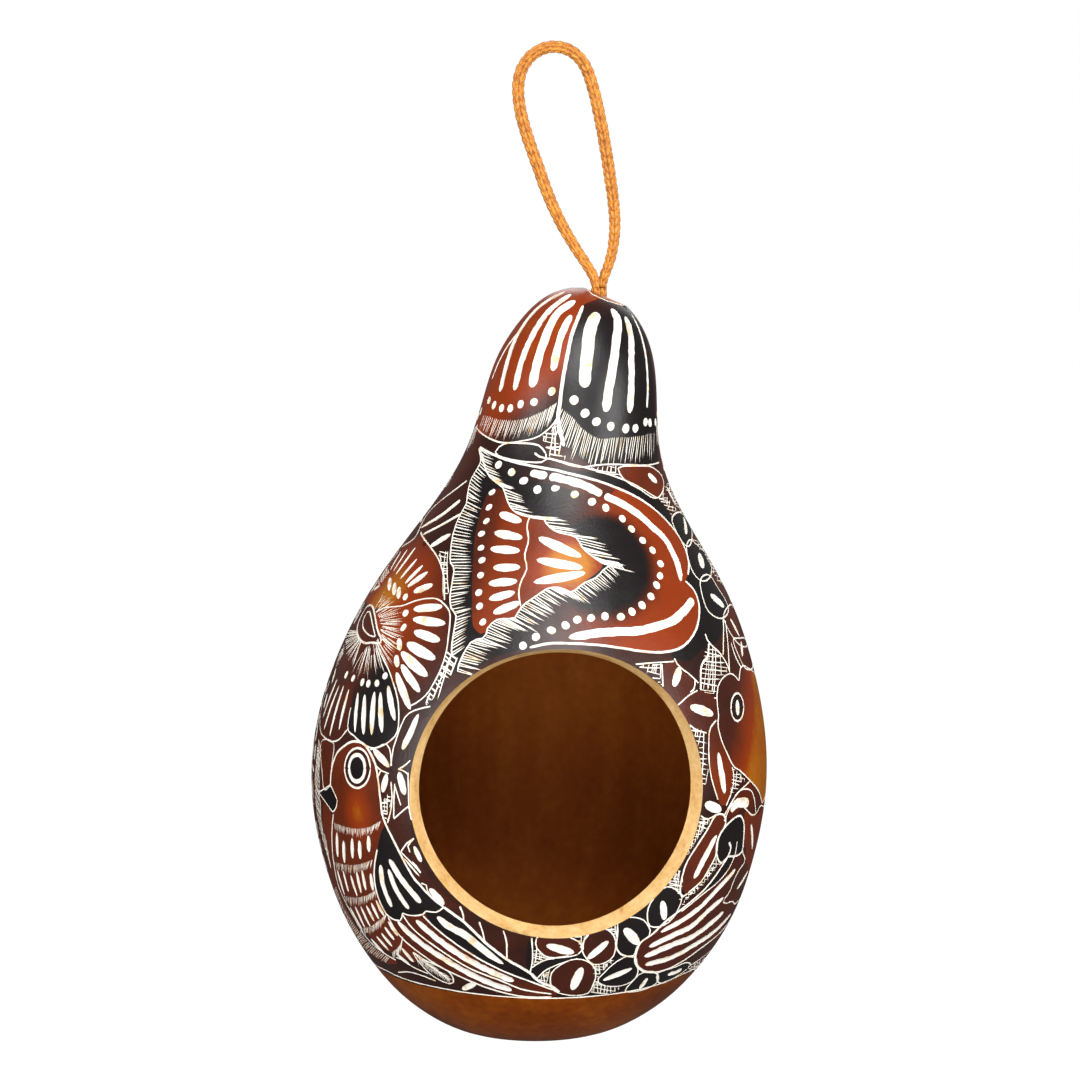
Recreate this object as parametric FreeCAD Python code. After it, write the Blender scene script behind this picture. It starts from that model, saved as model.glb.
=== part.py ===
import FreeCAD, Part
import math
import os

from FreeCAD import Vector

# A hollow bottle gourd with a round window cut in its belly, hung by a loop of knitted cord.
# Millimetres, +Z up. The origin is the hook point, at the inner top of the cord loop.
# The window faces -Y, and the neck leans towards +X.

# Gourd shell
gourd_height = 190.0
gourd_diameter = 116.0
wall_thickness = 4.0
cut_overrun = 6.0

# Window in the belly, measured at its outer edge
window_width = 70.6
window_top_height = 105.2
window_bottom_height = 36.3
window_turn_deg = 5.4
window_side_flare_deg = 37.5
window_top_flare_deg = 19.0
window_bottom_flare_deg = 33.0

# Flat scar of the stem, at the crown of the neck, with the cord hole in it
scar_tilt_deg = 23.0
scar_drop = 1.6
scar_reach = 12.0
hole_from_crown = 4.6
hole_clearance = 0.33
mouth_wear_height = 0.2
mouth_wear_width = 2.0

# Cord
cord_diameter = 2.8
leg_gap = 0.14
leg_lay_deg = 54.7
pivot_above_mouth = 1.5
knot_diameter = 9.6
knot_height = 7.6
knot_clearance = 0.3
tail_lengths = (14.0, 11.0)
tail_splay_share = 0.16
tail_bend_share = 0.4

# Outline of the gourd from the bottom up, as hand-chosen shares:
# height of the whole height, radius and sideways lean of the largest radius.
outline_shares = (
    (0.000, 0.100, -0.015),
    (0.004, 0.235, -0.015),
    (0.010, 0.365, -0.014),
    (0.030, 0.500, -0.011),
    (0.060, 0.625, -0.008),
    (0.100, 0.739, -0.004),
    (0.160, 0.859, 0.000),
    (0.240, 0.951, 0.000),
    (0.330, 1.000, 0.002),
    (0.420, 0.983, 0.009),
    (0.500, 0.917, 0.022),
    (0.580, 0.809, 0.040),
    (0.650, 0.672, 0.056),
    (0.720, 0.522, 0.078),
    (0.780, 0.429, 0.104),
    (0.850, 0.380, 0.136),
    (0.910, 0.337, 0.160),
    (0.955, 0.261, 0.177),
    (0.985, 0.166, 0.182),
    (0.996, 0.097, 0.183),
    (1.000, 0.045, 0.183),
)

# Places that follow from the sizes above
gourd_radius = gourd_diameter / 2
cord_radius = cord_diameter / 2
leg_offset = cord_radius + leg_gap / 2
leg_offset_x = leg_offset * math.cos(math.radians(leg_lay_deg))
leg_offset_y = leg_offset * math.sin(math.radians(leg_lay_deg))
hole_radius = leg_offset + cord_radius + hole_clearance

# The loop's route, in the plane of the loop but for the crossing at its foot. It rises on the left
# from the pivot over the hole, goes round the hook point and comes down on the right.
hole_x = 12.3
pivot_z = -58.35
left_foot = (hole_x - leg_offset_x, -leg_offset_y)
right_foot = (hole_x + leg_offset_x, leg_offset_y)
loop_route = (
    (left_foot[0], left_foot[1], pivot_z),
    (left_foot[0], left_foot[1], -57.1),
    (10.9, -1.20, -55.2),
    (9.2, -1.15, -52.5),
    (6.4, -1.00, -48.4),
    (2.6, -0.80, -42.0),
    (-0.6, -0.50, -35.0),
    (-3.0, -0.20, -28.0),
    (-5.5, 0.05, -21.3),
    (-7.4, 0.20, -14.6),
    (-8.1, 0.25, -9.4),
    (-7.5, 0.20, -4.4),
    (-4.8, 0.10, -0.4),
    (-0.5, 0.00, 1.75),
    (4.3, -0.05, 1.3),
    (8.1, 0.00, -1.6),
    (10.2, 0.10, -6.3),
    (12.0, 0.20, -13.3),
    (13.6, 0.30, -21.5),
    (15.0, 0.45, -30.0),
    (16.1, 0.65, -37.6),
    (16.4, 0.85, -43.6),
    (15.8, 1.00, -49.2),
    (14.5, 1.15, -53.4),
    (13.4, 1.20, -56.0),
    (right_foot[0], right_foot[1], -57.2),
    (right_foot[0], right_foot[1], pivot_z),
)

mouth_z = pivot_z - pivot_above_mouth
crown_lean = outline_shares[-1][2] * gourd_radius
axis_x = hole_x - crown_lean - hole_from_crown
gourd_bottom_z = mouth_z + scar_drop - gourd_height


def gourd_point(x, y, height):
    """A point given from the gourd's upright axis and its bottom."""
    return Vector(axis_x + x, y, gourd_bottom_z + height)


def outline_rows():
    """Height, radius and lean of each ring of the outside, in millimetres."""
    rows = []
    for height_share, radius_share, lean_share in outline_shares:
        rows.append((height_share * gourd_height, radius_share * gourd_radius, lean_share * gourd_radius))
    return rows


def inner_rows():
    """The same rings moved in by the wall, square to the outline."""
    rows = outline_rows()
    points = [Vector(radius, 0, height) for height, radius, lean in rows]
    curve = Part.BSplineCurve()
    curve.interpolate(points)
    moved = []
    for point, (height, radius, lean) in zip(points, rows):
        tangent = curve.tangent(curve.parameter(point))[0]
        tangent.normalize()
        moved.append((height + wall_thickness * tangent.x, radius - wall_thickness * tangent.z, lean))
    return moved


def ring_loft(rows):
    """A solid through level circles whose centres lean."""
    rings = []
    for height, radius, lean in rows:
        rings.append(Part.Wire(Part.makeCircle(radius, gourd_point(lean, 0, height), Vector(0, 0, 1))))
    return Part.makeLoft(rings, True, False)


def outline_radius(height):
    """The radius of the outside at a height over the bottom."""
    rows = outline_rows()
    for (low, low_radius, _), (high, high_radius, _) in zip(rows, rows[1:]):
        if low <= height <= high:
            return low_radius + (high_radius - low_radius) * (height - low) / (high - low)
    return rows[-1][1]


def window_ring(distance):
    """The window's outline on an upright plane at a distance from the gourd's axis."""
    rim_half_width = window_width / 2
    rim_distance = math.sqrt(gourd_radius ** 2 - rim_half_width ** 2)
    top_distance = outline_radius(window_top_height)
    bottom_distance = outline_radius(window_bottom_height)
    half_width = rim_half_width + (distance - rim_distance) * math.tan(math.radians(window_side_flare_deg))
    top = window_top_height + (distance - top_distance) * math.tan(math.radians(window_top_flare_deg))
    drop = (distance - bottom_distance) * math.tan(math.radians(window_bottom_flare_deg))
    bottom = window_bottom_height - drop
    ring = Part.Wire(Part.makeCircle(1, Vector(0, 0, 0), Vector(0, 1, 0)))
    stretch = FreeCAD.Matrix()
    stretch.scale(half_width, 1, (top - bottom) / 2)
    ring = ring.transformGeometry(stretch)
    ring.translate(Vector(0, -distance, (top + bottom) / 2))
    ring.rotate(Vector(0, 0, 0), Vector(0, 0, 1), window_turn_deg)
    ring.translate(gourd_point(0, 0, 0))
    return ring


def window_cut():
    """The flared plug that is cut out of the belly."""
    near = gourd_radius / 2
    far = gourd_radius + cut_overrun
    return Part.makeLoft([window_ring(near), window_ring(far)], True, True)


def scar_cut():
    """What lies above the flat scar of the stem."""
    tilt = math.radians(scar_tilt_deg)
    normal = Vector(math.sin(tilt), 0, math.cos(tilt))
    return Part.makeCylinder(scar_reach, scar_reach, Vector(hole_x, 0, mouth_z), normal)


def cord_hole():
    """The upright hole in the crown, with its high side worn open by the cord."""
    foot = mouth_z - 3 * wall_thickness
    hole = Part.makeCylinder(hole_radius, 3 * wall_thickness + cut_overrun, Vector(hole_x, 0, foot))
    wear_foot = Vector(hole_x, 0, mouth_z + mouth_wear_height)
    wear = Part.makeCone(hole_radius, hole_radius + mouth_wear_width, mouth_wear_width, wear_foot)
    return hole.fuse(wear)


def make_gourd_shell():
    outside = ring_loft(outline_rows())
    inside = ring_loft(inner_rows())
    return outside.cut([inside, window_cut(), scar_cut(), cord_hole()])


def knot_centre_z():
    """The height at which the knot hangs just clear of the crown's inside."""
    inside = ring_loft(inner_rows())
    skin = Part.makeShell(inside.Faces)
    wanted = knot_diameter / 2 + knot_clearance
    low = mouth_z - gourd_radius
    high = mouth_z - wall_thickness
    while high - low > knot_clearance / 100:
        middle = (low + high) / 2
        if skin.distToShape(Part.Vertex(Vector(hole_x, 0, middle)))[0] > wanted:
            low = middle
        else:
            high = middle
    return low


def route_wire(name, route):
    """Straight runs joined by tangent arcs, each as large as its runs allow."""
    points = [Vector(*point) for point in route]
    edges = []
    radii = []
    start = points[0]
    for before, corner, after in zip(points, points[1:], points[2:]):
        back = before - corner
        ahead = after - corner
        reach = 0.45 * min(back.Length, ahead.Length)
        turn = math.pi - back.getAngle(ahead)
        radius = reach / math.tan(turn / 2)
        back.normalize()
        ahead.normalize()
        arc_start = corner + back * reach
        arc_end = corner + ahead * reach
        inward = back + ahead
        inward.normalize()
        arc_middle = corner + inward * (radius / math.cos(turn / 2) - radius)
        edges.append(Part.LineSegment(start, arc_start).toShape())
        edges.append(Part.Arc(arc_start, arc_middle, arc_end).toShape())
        radii.append(radius)
        start = arc_end
    edges.append(Part.LineSegment(start, points[-1]).toShape())
    print(name, "radii", " ".join("%.1f" % radius for radius in radii))
    return Part.Wire(edges)


def cord_tube(name, route):
    path = route_wire(name, route)
    start = Vector(*route[0])
    heading = Vector(*route[1]) - start
    section = Part.Wire(Part.makeCircle(cord_radius, start, heading))
    tube = path.makePipeShell([section], True, False)
    expected = math.pi * cord_radius ** 2 * path.Length
    print(name, "length %.1f mm, volume %.4f of section times length" % (path.Length, tube.Volume / expected))
    return tube


def make_cord_in_hole(knot_z):
    """The loop's two legs from the pivot down to the knot."""
    top = pivot_z
    foot = knot_z + knot_height / 2
    legs = []
    for x, y in (left_foot, right_foot):
        legs.append(Part.makeCylinder(cord_radius, top - foot, Vector(x, y, foot)))
    return Part.makeCompound(legs)


def make_cord_knot(knot_z):
    """An overhand knot in both legs, as a ball drawn flat above and below."""
    ball = Part.makeSphere(knot_diameter / 2, Vector(hole_x, 0, knot_z))
    slab = Part.makeCylinder(knot_diameter, knot_height, Vector(hole_x, 0, knot_z - knot_height / 2))
    return ball.common(slab)


def make_cord_tails(knot_z):
    """The cord's two cut ends, which hang below the knot."""
    top = knot_z - knot_height / 2
    tails = []
    for side, length in zip((-1, 1), tail_lengths):
        x = hole_x + side * leg_offset_x
        y = side * leg_offset_y
        splay = side * tail_splay_share * length
        bend = tail_bend_share * length
        route = (
            (x, y, top),
            (x, y, top - bend / 2),
            (x + splay / 3, y + splay / 4, top - bend - bend / 3),
            (x + splay, y + splay, top - length),
        )
        tails.append(cord_tube("cord_tails", route))
    return Part.makeCompound(tails)


def main():
    os.makedirs("parts", exist_ok=True)
    knot_z = knot_centre_z()
    parts = {
        "gourd_shell": make_gourd_shell(),
        "hanging_loop": cord_tube("hanging_loop", loop_route),
        "cord_in_hole": make_cord_in_hole(knot_z),
        "cord_knot": make_cord_knot(knot_z),
        "cord_tails": make_cord_tails(knot_z),
    }
    for name, shape in parts.items():
        box = shape.BoundBox
        print(name, "solids", len(shape.Solids), "valid", shape.isValid(), "volume %.0f" % shape.Volume)
        print("  x %.1f to %.1f, y %.1f to %.1f, z %.1f to %.1f"
              % (box.XMin, box.XMax, box.YMin, box.YMax, box.ZMin, box.ZMax))
        shape.exportStep("parts/" + name + ".step")


main()
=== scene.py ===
import math
import random

import bpy
import numpy as np
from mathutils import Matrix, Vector
from mathutils.geometry import delaunay_2d_cdt


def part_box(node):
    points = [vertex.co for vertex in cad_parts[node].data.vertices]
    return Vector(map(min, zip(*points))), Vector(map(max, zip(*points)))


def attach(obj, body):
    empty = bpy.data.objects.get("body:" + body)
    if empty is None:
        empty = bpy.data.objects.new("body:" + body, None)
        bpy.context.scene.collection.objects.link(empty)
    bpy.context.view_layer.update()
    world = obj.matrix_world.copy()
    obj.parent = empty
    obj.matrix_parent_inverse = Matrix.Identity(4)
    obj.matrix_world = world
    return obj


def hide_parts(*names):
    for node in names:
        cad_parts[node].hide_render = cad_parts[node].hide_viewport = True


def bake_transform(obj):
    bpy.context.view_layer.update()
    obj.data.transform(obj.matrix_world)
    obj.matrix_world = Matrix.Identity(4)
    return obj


# A carved gourd with a window in its belly, hung by a loop of golden knitted cord.
# Sizes here are in millimetres. MM turns them into metres as the meshes are made.
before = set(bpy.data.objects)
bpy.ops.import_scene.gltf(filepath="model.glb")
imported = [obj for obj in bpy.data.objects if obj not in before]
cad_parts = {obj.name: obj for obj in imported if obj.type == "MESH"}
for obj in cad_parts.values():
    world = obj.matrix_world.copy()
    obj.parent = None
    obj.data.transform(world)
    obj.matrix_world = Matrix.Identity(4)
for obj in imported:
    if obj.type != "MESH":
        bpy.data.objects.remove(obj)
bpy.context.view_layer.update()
MM = 0.001
rng = random.Random(11)


# Sizes from the frame

shell_low, shell_high = (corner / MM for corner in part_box("gourd_shell"))
hole_low, hole_high = (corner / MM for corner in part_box("cord_in_hole"))
gourd_bottom_z = shell_low.z
gourd_height = shell_high.z - shell_low.z
belly_swell = 1.00184
gourd_radius = shell_high.y / belly_swell
hole_x = (hole_low.x + hole_high.x) / 2
hole_from_crown = 4.6
crown_lean_share = 0.183
axis_x = hole_x - hole_from_crown - crown_lean_share * gourd_radius
pivot_z = hole_high.z
hole_foot_z = hole_low.z

wall_thickness = 4.0
scar_tilt = math.radians(23.0)
scar_drop = 1.6
mouth_z = shell_high.z - scar_drop
hole_radius = 3.2
mouth_wear_height = 0.2
window_width = 70.6
window_top_height = 105.2
window_bottom_height = 36.3
window_turn = math.radians(5.4)
window_side_flare = math.tan(math.radians(37.5))
window_top_flare = math.tan(math.radians(19.0))
window_bottom_flare = math.tan(math.radians(33.0))

# Outline from the bottom up: shares of the height, of the largest radius, and of it again for the lean.
outline_shares = (
    (0.000, 0.100, -0.015),
    (0.004, 0.235, -0.015),
    (0.010, 0.365, -0.014),
    (0.030, 0.500, -0.011),
    (0.060, 0.625, -0.008),
    (0.100, 0.739, -0.004),
    (0.160, 0.859, 0.000),
    (0.240, 0.951, 0.000),
    (0.330, 1.000, 0.002),
    (0.420, 0.983, 0.009),
    (0.500, 0.917, 0.022),
    (0.580, 0.809, 0.040),
    (0.650, 0.672, 0.056),
    (0.720, 0.522, 0.078),
    (0.780, 0.429, 0.104),
    (0.850, 0.380, 0.136),
    (0.910, 0.337, 0.160),
    (0.955, 0.261, 0.177),
    (0.985, 0.166, 0.182),
    (0.996, 0.097, 0.183),
    (1.000, 0.045, 0.183),
)


# The two sides of the wall, each a leaning body of revolution with a flat chart.
# A place on it is one complex number: the real part grows upwards and the imaginary part is the azimuth
# from the window's side towards +X. The chart keeps angles, and a millimetre is 1 / radius in it.

tip_radius = 0.7
tip_samples = 11
outline_samples = 3000
body_slice = slice(tip_samples, -tip_samples)


def spline(knots, values, at):
    """A natural cubic spline through the values."""
    gaps = np.diff(knots)
    slopes = np.diff(values) / gaps
    count = len(knots)
    matrix = np.eye(count)
    right = np.zeros(count)
    for i in range(1, count - 1):
        matrix[i, i - 1:i + 2] = gaps[i - 1], 2 * (gaps[i - 1] + gaps[i]), gaps[i]
        right[i] = 6 * (slopes[i] - slopes[i - 1])
    bends = np.linalg.solve(matrix, right)
    i = np.clip(np.searchsorted(knots, at, side="right") - 1, 0, count - 2)
    step = at - knots[i]
    rise = slopes[i] - gaps[i] * (2 * bends[i] + bends[i + 1]) / 6
    bend = bends[i] / 2 + step * (bends[i + 1] - bends[i]) / (6 * gaps[i])
    return values[i] + step * (rise + step * bend)


def narrowed(low, high, beyond, steps=24):
    """A range halved again and again round the value from which beyond holds."""
    for _ in range(steps):
        middle = (low + high) / 2
        if beyond(middle):
            high = middle
        else:
            low = middle
    return low, high


class Side:
    """One side of the wall: its outline as it runs up, and the level of each of its points on the chart."""

    def __init__(self, heights, radii, leans):
        self.knots = np.concatenate(([0], np.cumsum(np.hypot(np.diff(heights), np.diff(radii)))))
        dense = np.linspace(0, self.knots[-1], outline_samples)
        foot = np.linspace(tip_radius, radii[0], tip_samples + 1)[:-1]
        head = np.linspace(radii[-1], tip_radius, tip_samples + 1)[1:]
        self.radius = np.concatenate((foot, spline(self.knots, radii, dense), head))
        body = spline(self.knots, heights, dense)
        body_lean = spline(self.knots, leans, dense)
        self.height = np.concatenate((foot * 0 + heights[0], body, head * 0 + heights[-1]))
        self.lean = np.concatenate((foot * 0 + leans[0], body_lean, head * 0 + leans[-1]))
        steps = np.hypot(np.diff(self.radius), np.diff(self.height))
        self.run = np.concatenate(([0], np.cumsum(steps)))
        self.up = np.concatenate(([0], np.cumsum(2 * steps / (self.radius[1:] + self.radius[:-1]))))
        self.out = np.gradient(self.height, self.run)
        self.rise = -np.gradient(self.radius, self.run)
        self.lean_slope = np.gradient(self.lean, self.run)
        self.belly_up = self.up[np.argmax(self.radius)]

    def at(self, values, places):
        return np.interp(np.real(places), self.up, values)

    def points(self, places, depth=0.0):
        """Places on the chart, as points at a depth under the surface."""
        radius = self.at(self.radius, places) - depth * self.at(self.out, places)
        turn = np.imag(places)
        x = axis_x + self.at(self.lean, places) + radius * np.sin(turn)
        z = gourd_bottom_z + self.at(self.height, places) - depth * self.at(self.rise, places)
        return np.stack((x, -radius * np.cos(turn), z), axis=-1)

    def normals(self, places):
        turn = np.imag(places)
        out = self.at(self.out, places)
        rise = self.at(self.rise, places) - self.at(self.lean_slope, places) * np.sin(turn)
        normal = np.stack((out * np.sin(turn), -out * np.cos(turn), rise), axis=-1)
        return normal / np.linalg.norm(normal, axis=-1, keepdims=True)

    def under(self, x, y):
        """The place near the crown that lies at this x and y."""
        def across(up):
            return x - axis_x - self.at(self.lean, up)

        up = narrowed(self.belly_up, self.up[-1],
                      lambda up: math.hypot(across(up), y) > self.at(self.radius, up), 40)[0]
        return complex(up, math.atan2(across(up), -y))


shares = np.array(outline_shares)
outside = Side(shares[:, 0] * gourd_height, shares[:, 1] * gourd_radius, shares[:, 2] * gourd_radius)
rows = outside.knots + outside.run[tip_samples]
row_out = np.interp(rows, outside.run, outside.out)
row_rise = np.interp(rows, outside.run, outside.rise)
inside = Side(shares[:, 0] * gourd_height - wall_thickness * row_rise,
              shares[:, 1] * gourd_radius - wall_thickness * row_out,
              shares[:, 2] * gourd_radius)


# The camera stands where the photograph was taken from, and the ornament is placed by its pixels.

camera_pitch = math.radians(6.0)
photo_pixels = 1080
focal_pixels = 2757.0
camera_point = np.array((-2.49, -696.17, -48.89))
look = np.array((0, math.cos(camera_pitch), -math.sin(camera_pitch)))
camera_up = np.array((0, math.sin(camera_pitch), math.cos(camera_pitch)))

level_step = 0.1
levels = np.arange(0, gourd_height + level_step, level_step)
level_radius = np.interp(levels, outside.height[body_slice], outside.radius[body_slice]).tolist()
level_lean = np.interp(levels, outside.height[body_slice], outside.lean[body_slice]).tolist()
level_up = np.interp(levels, outside.height[body_slice], outside.up[body_slice]).tolist()


def seen_place(px, py):
    """The place on the outside that shows at a pixel of the photograph, or the nearest one."""
    ray = look + camera_up * ((photo_pixels / 2 - py) / focal_pixels)
    ray[0] += (px - photo_pixels / 2) / focal_pixels
    ray_x, ray_y, ray_z = ray.tolist()
    eye_x, eye_y, eye_z = camera_point.tolist()

    def outside_by(t):
        level = min(max(int((eye_z + t * ray_z - gourd_bottom_z) / level_step), 0), len(levels) - 1)
        x = eye_x + t * ray_x - axis_x - level_lean[level]
        return math.hypot(x, eye_y + t * ray_y) - level_radius[level]

    near = (-1.3 * gourd_radius - eye_y) / ray_y
    far = -eye_y / ray_y
    if outside_by(far) > 0:
        low = near
        high = far + 0.3 * gourd_radius
        for _ in range(24):
            third = (high - low) / 3
            if outside_by(low + third) < outside_by(high - third):
                high -= third
            else:
                low += third
        far = (low + high) / 2
    if outside_by(far) < 0:
        far = narrowed(near, far, lambda t: outside_by(t) <= 0)[1]
    level = min(max(int((eye_z + far * ray_z - gourd_bottom_z) / level_step), 0), len(levels) - 1)
    x = eye_x + far * ray_x - axis_x - level_lean[level]
    return complex(level_up[level], math.atan2(x, -(eye_y + far * ray_y)))


def photo(points):
    """Pixels of the photograph, as places on the chart."""
    return [seen_place(px, py) for px, py in points]


def moved(pen, centre, goal, scale=1.0, mirror=False):
    """A pen that draws what another one draws round a centre, round a goal instead."""
    def draw(points):
        places = []
        for place in pen(points):
            offset = place - centre
            if mirror:
                offset = offset.conjugate()
            places.append(goal + offset * scale)
        return places
    return draw


# What is cut into the skin

class Carving:
    """Places, edges and faces for one triangulation. A region is a stretch of burnt colour, the last on top."""

    def __init__(self):
        self.places = []
        self.sinks = []
        self.edges = []
        self.faces = []
        self.kinds = []
        self.tones = []

    def add(self, outline, kind, tone=None, spine=(), sinks=()):
        first = len(self.places)
        self.places.extend(outline)
        self.sinks.extend([0.0] * len(outline))
        face = list(range(first, first + len(outline)))
        area = sum((a.conjugate() * b).imag for a, b in zip(outline, outline[1:] + outline[:1]))
        if area < 0:
            face.reverse()
        self.faces.append(face)
        self.kinds.append(kind)
        self.tones.append(tone)
        if spine:
            first_spine = len(self.places)
            self.places.extend(spine)
            self.sinks.extend(sinks)
            self.edges.extend((i, i + 1) for i in range(first_spine, first_spine + len(spine) - 1))


carving = Carving()
fine_line = 0.36
least_depth = 0.12
depth_share = 0.22
heading_step = 0.3
bend_step = 1.5
straight_step = 9.0


def radius_at(place):
    return float(outside.at(outside.radius, place))


def smooth(points, closed=False):
    """A centripetal Catmull-Rom curve through the places, with its running length in millimetres."""
    if len(points) == 2:
        line = np.array(points)
    else:
        if closed:
            ring = [points[-1]] + list(points) + [points[0], points[1]]
        else:
            ring = [2 * points[0] - points[1]] + list(points) + [2 * points[-1] - points[-2]]
        pieces = []
        for a, b, c, d in zip(ring, ring[1:], ring[2:], ring[3:]):
            t1 = abs(b - a) ** 0.5 + 1e-9
            t2 = t1 + abs(c - b) ** 0.5 + 1e-9
            t3 = t2 + abs(d - c) ** 0.5 + 1e-9
            t = np.linspace(t1, t2, 7)[:-1]
            ab = (t1 - t) / t1 * a + t / t1 * b
            bc = (t2 - t) / (t2 - t1) * b + (t - t1) / (t2 - t1) * c
            cd = (t3 - t) / (t3 - t2) * c + (t - t2) / (t3 - t2) * d
            abc = (t2 - t) / t2 * ab + t / t2 * bc
            bcd = (t3 - t) / (t3 - t1) * bc + (t - t1) / (t3 - t1) * cd
            pieces.append((t2 - t) / (t2 - t1) * abc + (t - t1) / (t2 - t1) * bcd)
        line = np.concatenate(pieces + [[points[0] if closed else points[-1]]])
    middles = (line[1:] + line[:-1]) / 2
    run = np.concatenate(([0], np.cumsum(np.abs(np.diff(line)) * outside.at(outside.radius, middles))))
    return line, run


def cut(places, width, start=None, end=None, ragged=0.05):
    """One gouged line. start and end are how long its two ends taper, in millimetres."""
    line, run = smooth(places)
    length = run[-1]
    half = width / 2
    if length < 0.2:
        return
    start = min(half if start is None else start, 0.48 * length)
    end = min(half if end is None else end, 0.48 * length)
    fine = width < 0.55
    ends = (1.0,) if fine else (0.12, 0.45, 1.0)
    if fine:
        spacing = bend_step if len(places) > 2 else straight_step
    else:
        spacing = max(1.0, 0.55 * width)
    marks = [share * start for share in ends]
    plain = length - start - end
    count = int(plain / spacing)
    marks += [start + plain * (i + 1) / (count + 1) for i in range(count)]
    marks += [length - share * end for share in reversed(ends)]
    marks = np.array(marks)
    centre = np.interp(marks, run, line.real) + 1j * np.interp(marks, run, line.imag)
    ahead = np.minimum(marks + heading_step, length)
    behind = np.maximum(marks - heading_step, 0)
    heading = (np.interp(ahead, run, line.real) - np.interp(behind, run, line.real)
               + 1j * (np.interp(ahead, run, line.imag) - np.interp(behind, run, line.imag)))
    heading = heading / np.abs(heading)
    from_start = np.minimum(marks / start, 1)
    from_end = np.minimum((length - marks) / end, 1)
    share = np.sqrt(from_start * (2 - from_start)) * np.sqrt(from_end * (2 - from_end))
    radius = outside.at(outside.radius, centre)
    rough = min(ragged, 0.3 * half)
    left = half * share + np.array([rng.uniform(-rough, rough) for _ in marks]) * share
    right = half * share + np.array([rng.uniform(-rough, rough) for _ in marks]) * share
    side = 1j * heading / radius
    outline = [line[0], *(centre - side * right), line[-1], *(centre + side * left)[::-1]]
    deep = least_depth + depth_share * half * share
    carving.add([complex(p) for p in outline], "cut", None, [complex(p) for p in centre], deep.tolist())


def cuts(pen, lines, width, start=None, end=None):
    for points in lines:
        cut(pen(points), width, start, end)


def dashes(pen, rows_of_four, width, ragged=0.09):
    """Long oval gouges, each from one pixel to another."""
    for x0, y0, x1, y1 in rows_of_four:
        a, b = pen([(x0, y0), (x1, y1)])
        length = abs(b - a) * radius_at(a)
        cut([a, b], width, 0.45 * length, 0.45 * length, ragged)


def dots(pen, places, width):
    """Round to oval pits, a little uneven."""
    for px, py in places:
        centre = pen([(px, py)])[0]
        reach = width / 2 / radius_at(centre)
        lean = rng.uniform(0, math.pi)
        direction = complex(math.cos(lean), math.sin(lean)) * reach * rng.uniform(1.0, 1.12)
        cut([centre - direction, centre + direction], width * rng.uniform(0.92, 1.02), width, width, 0.07)


def fringe(pen, base, count, first, last, width=0.27, spread_deg=5, middle=None):
    """A row of fine cuts that leave a line. Its ends are (degrees, pixels), clockwise from rightwards."""
    line, run = smooth([complex(*p) for p in base])
    length = np.abs(np.diff(line))
    run = np.concatenate(([0], np.cumsum(length)))
    stops = [first, last] if middle is None else [first, middle, last]
    knots = np.linspace(0, 1, len(stops))
    for i in range(count):
        share = (i + rng.uniform(0.3, 0.7)) / count
        x = np.interp(share * run[-1], run, line.real)
        y = np.interp(share * run[-1], run, line.imag)
        turn = np.interp(share, knots, [s[0] for s in stops])
        angle = math.radians(turn + rng.uniform(-spread_deg, spread_deg))
        reach = np.interp(share, knots, [s[1] for s in stops]) * rng.uniform(0.8, 1.1)
        tip = (x + reach * math.cos(angle), y + reach * math.sin(angle))
        cut(pen([(x, y), tip]), width * rng.uniform(0.8, 1.2), 0.3, 2.0, 0.02)


def lattice(pen, corners, spacing=4.0, width=0.24, lean_deg=8):
    """Crossed scratches that fill a small area. corners are pixels."""
    ring = np.array([complex(*p) for p in corners])
    centre = ring.mean()
    for base_angle in (lean_deg, 90 + lean_deg * 0.5):
        along = complex(math.cos(math.radians(base_angle)), math.sin(math.radians(base_angle)))
        local = (ring - centre) / along
        level = local.imag.min() + spacing * rng.uniform(0.2, 0.6)
        while level < local.imag.max():
            crossings = []
            for a, b in zip(local, np.roll(local, -1)):
                if (a.imag - level) * (b.imag - level) < 0:
                    crossings.append(a.real + (b.real - a.real) * (level - a.imag) / (b.imag - a.imag))
            crossings.sort()
            for x0, x1 in zip(crossings[::2], crossings[1::2]):
                if x1 - x0 < 1.5:
                    continue
                tilt = rng.uniform(-0.12, 0.12) * min(x1 - x0, 12)
                p0 = centre + complex(x0 - rng.uniform(-0.4, 1.4), level - tilt) * along
                p1 = centre + complex(x1 + rng.uniform(-0.4, 1.4), level + tilt) * along
                ends = [(p0.real, p0.imag), (p1.real, p1.imag)]
                cut(pen(ends), width * rng.uniform(0.7, 1.3), 0.3, 1.5, 0.03)
            level += spacing * rng.choice((0.5, 0.9, 1.1, 1.3))


# Burnt colour, from 0, golden, to 1, black

def wrapped(offset):
    return np.real(offset) + 1j * ((np.imag(offset) + math.pi) % (2 * math.pi) - math.pi)


def flat(value):
    return lambda places: np.full(len(places), value)


def fade(pen, start, end, low, high):
    """Changes along a line between two pixels."""
    a, b = pen([start, end])

    def tone(places):
        share = np.clip((wrapped(places - a) * np.conj(b - a)).real / abs(b - a) ** 2, 0, 1)
        return low + (high - low) * share * share * (3 - 2 * share)
    return tone


def glow(pen, centre, reach, low, high, squeeze=1.0):
    """Changes outwards from a pixel, over a reach in millimetres, sideways by squeeze times that."""
    c = pen([centre])[0]
    r = radius_at(c)

    def tone(places):
        offset = wrapped(places - c) * r
        share = np.clip(np.hypot(offset.real, offset.imag / squeeze) / reach, 0, 1)
        return low + (high - low) * share * share * (3 - 2 * share)
    return tone


def darker(*tones):
    return lambda places: np.maximum.reduce([tone(places) for tone in tones])


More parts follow.
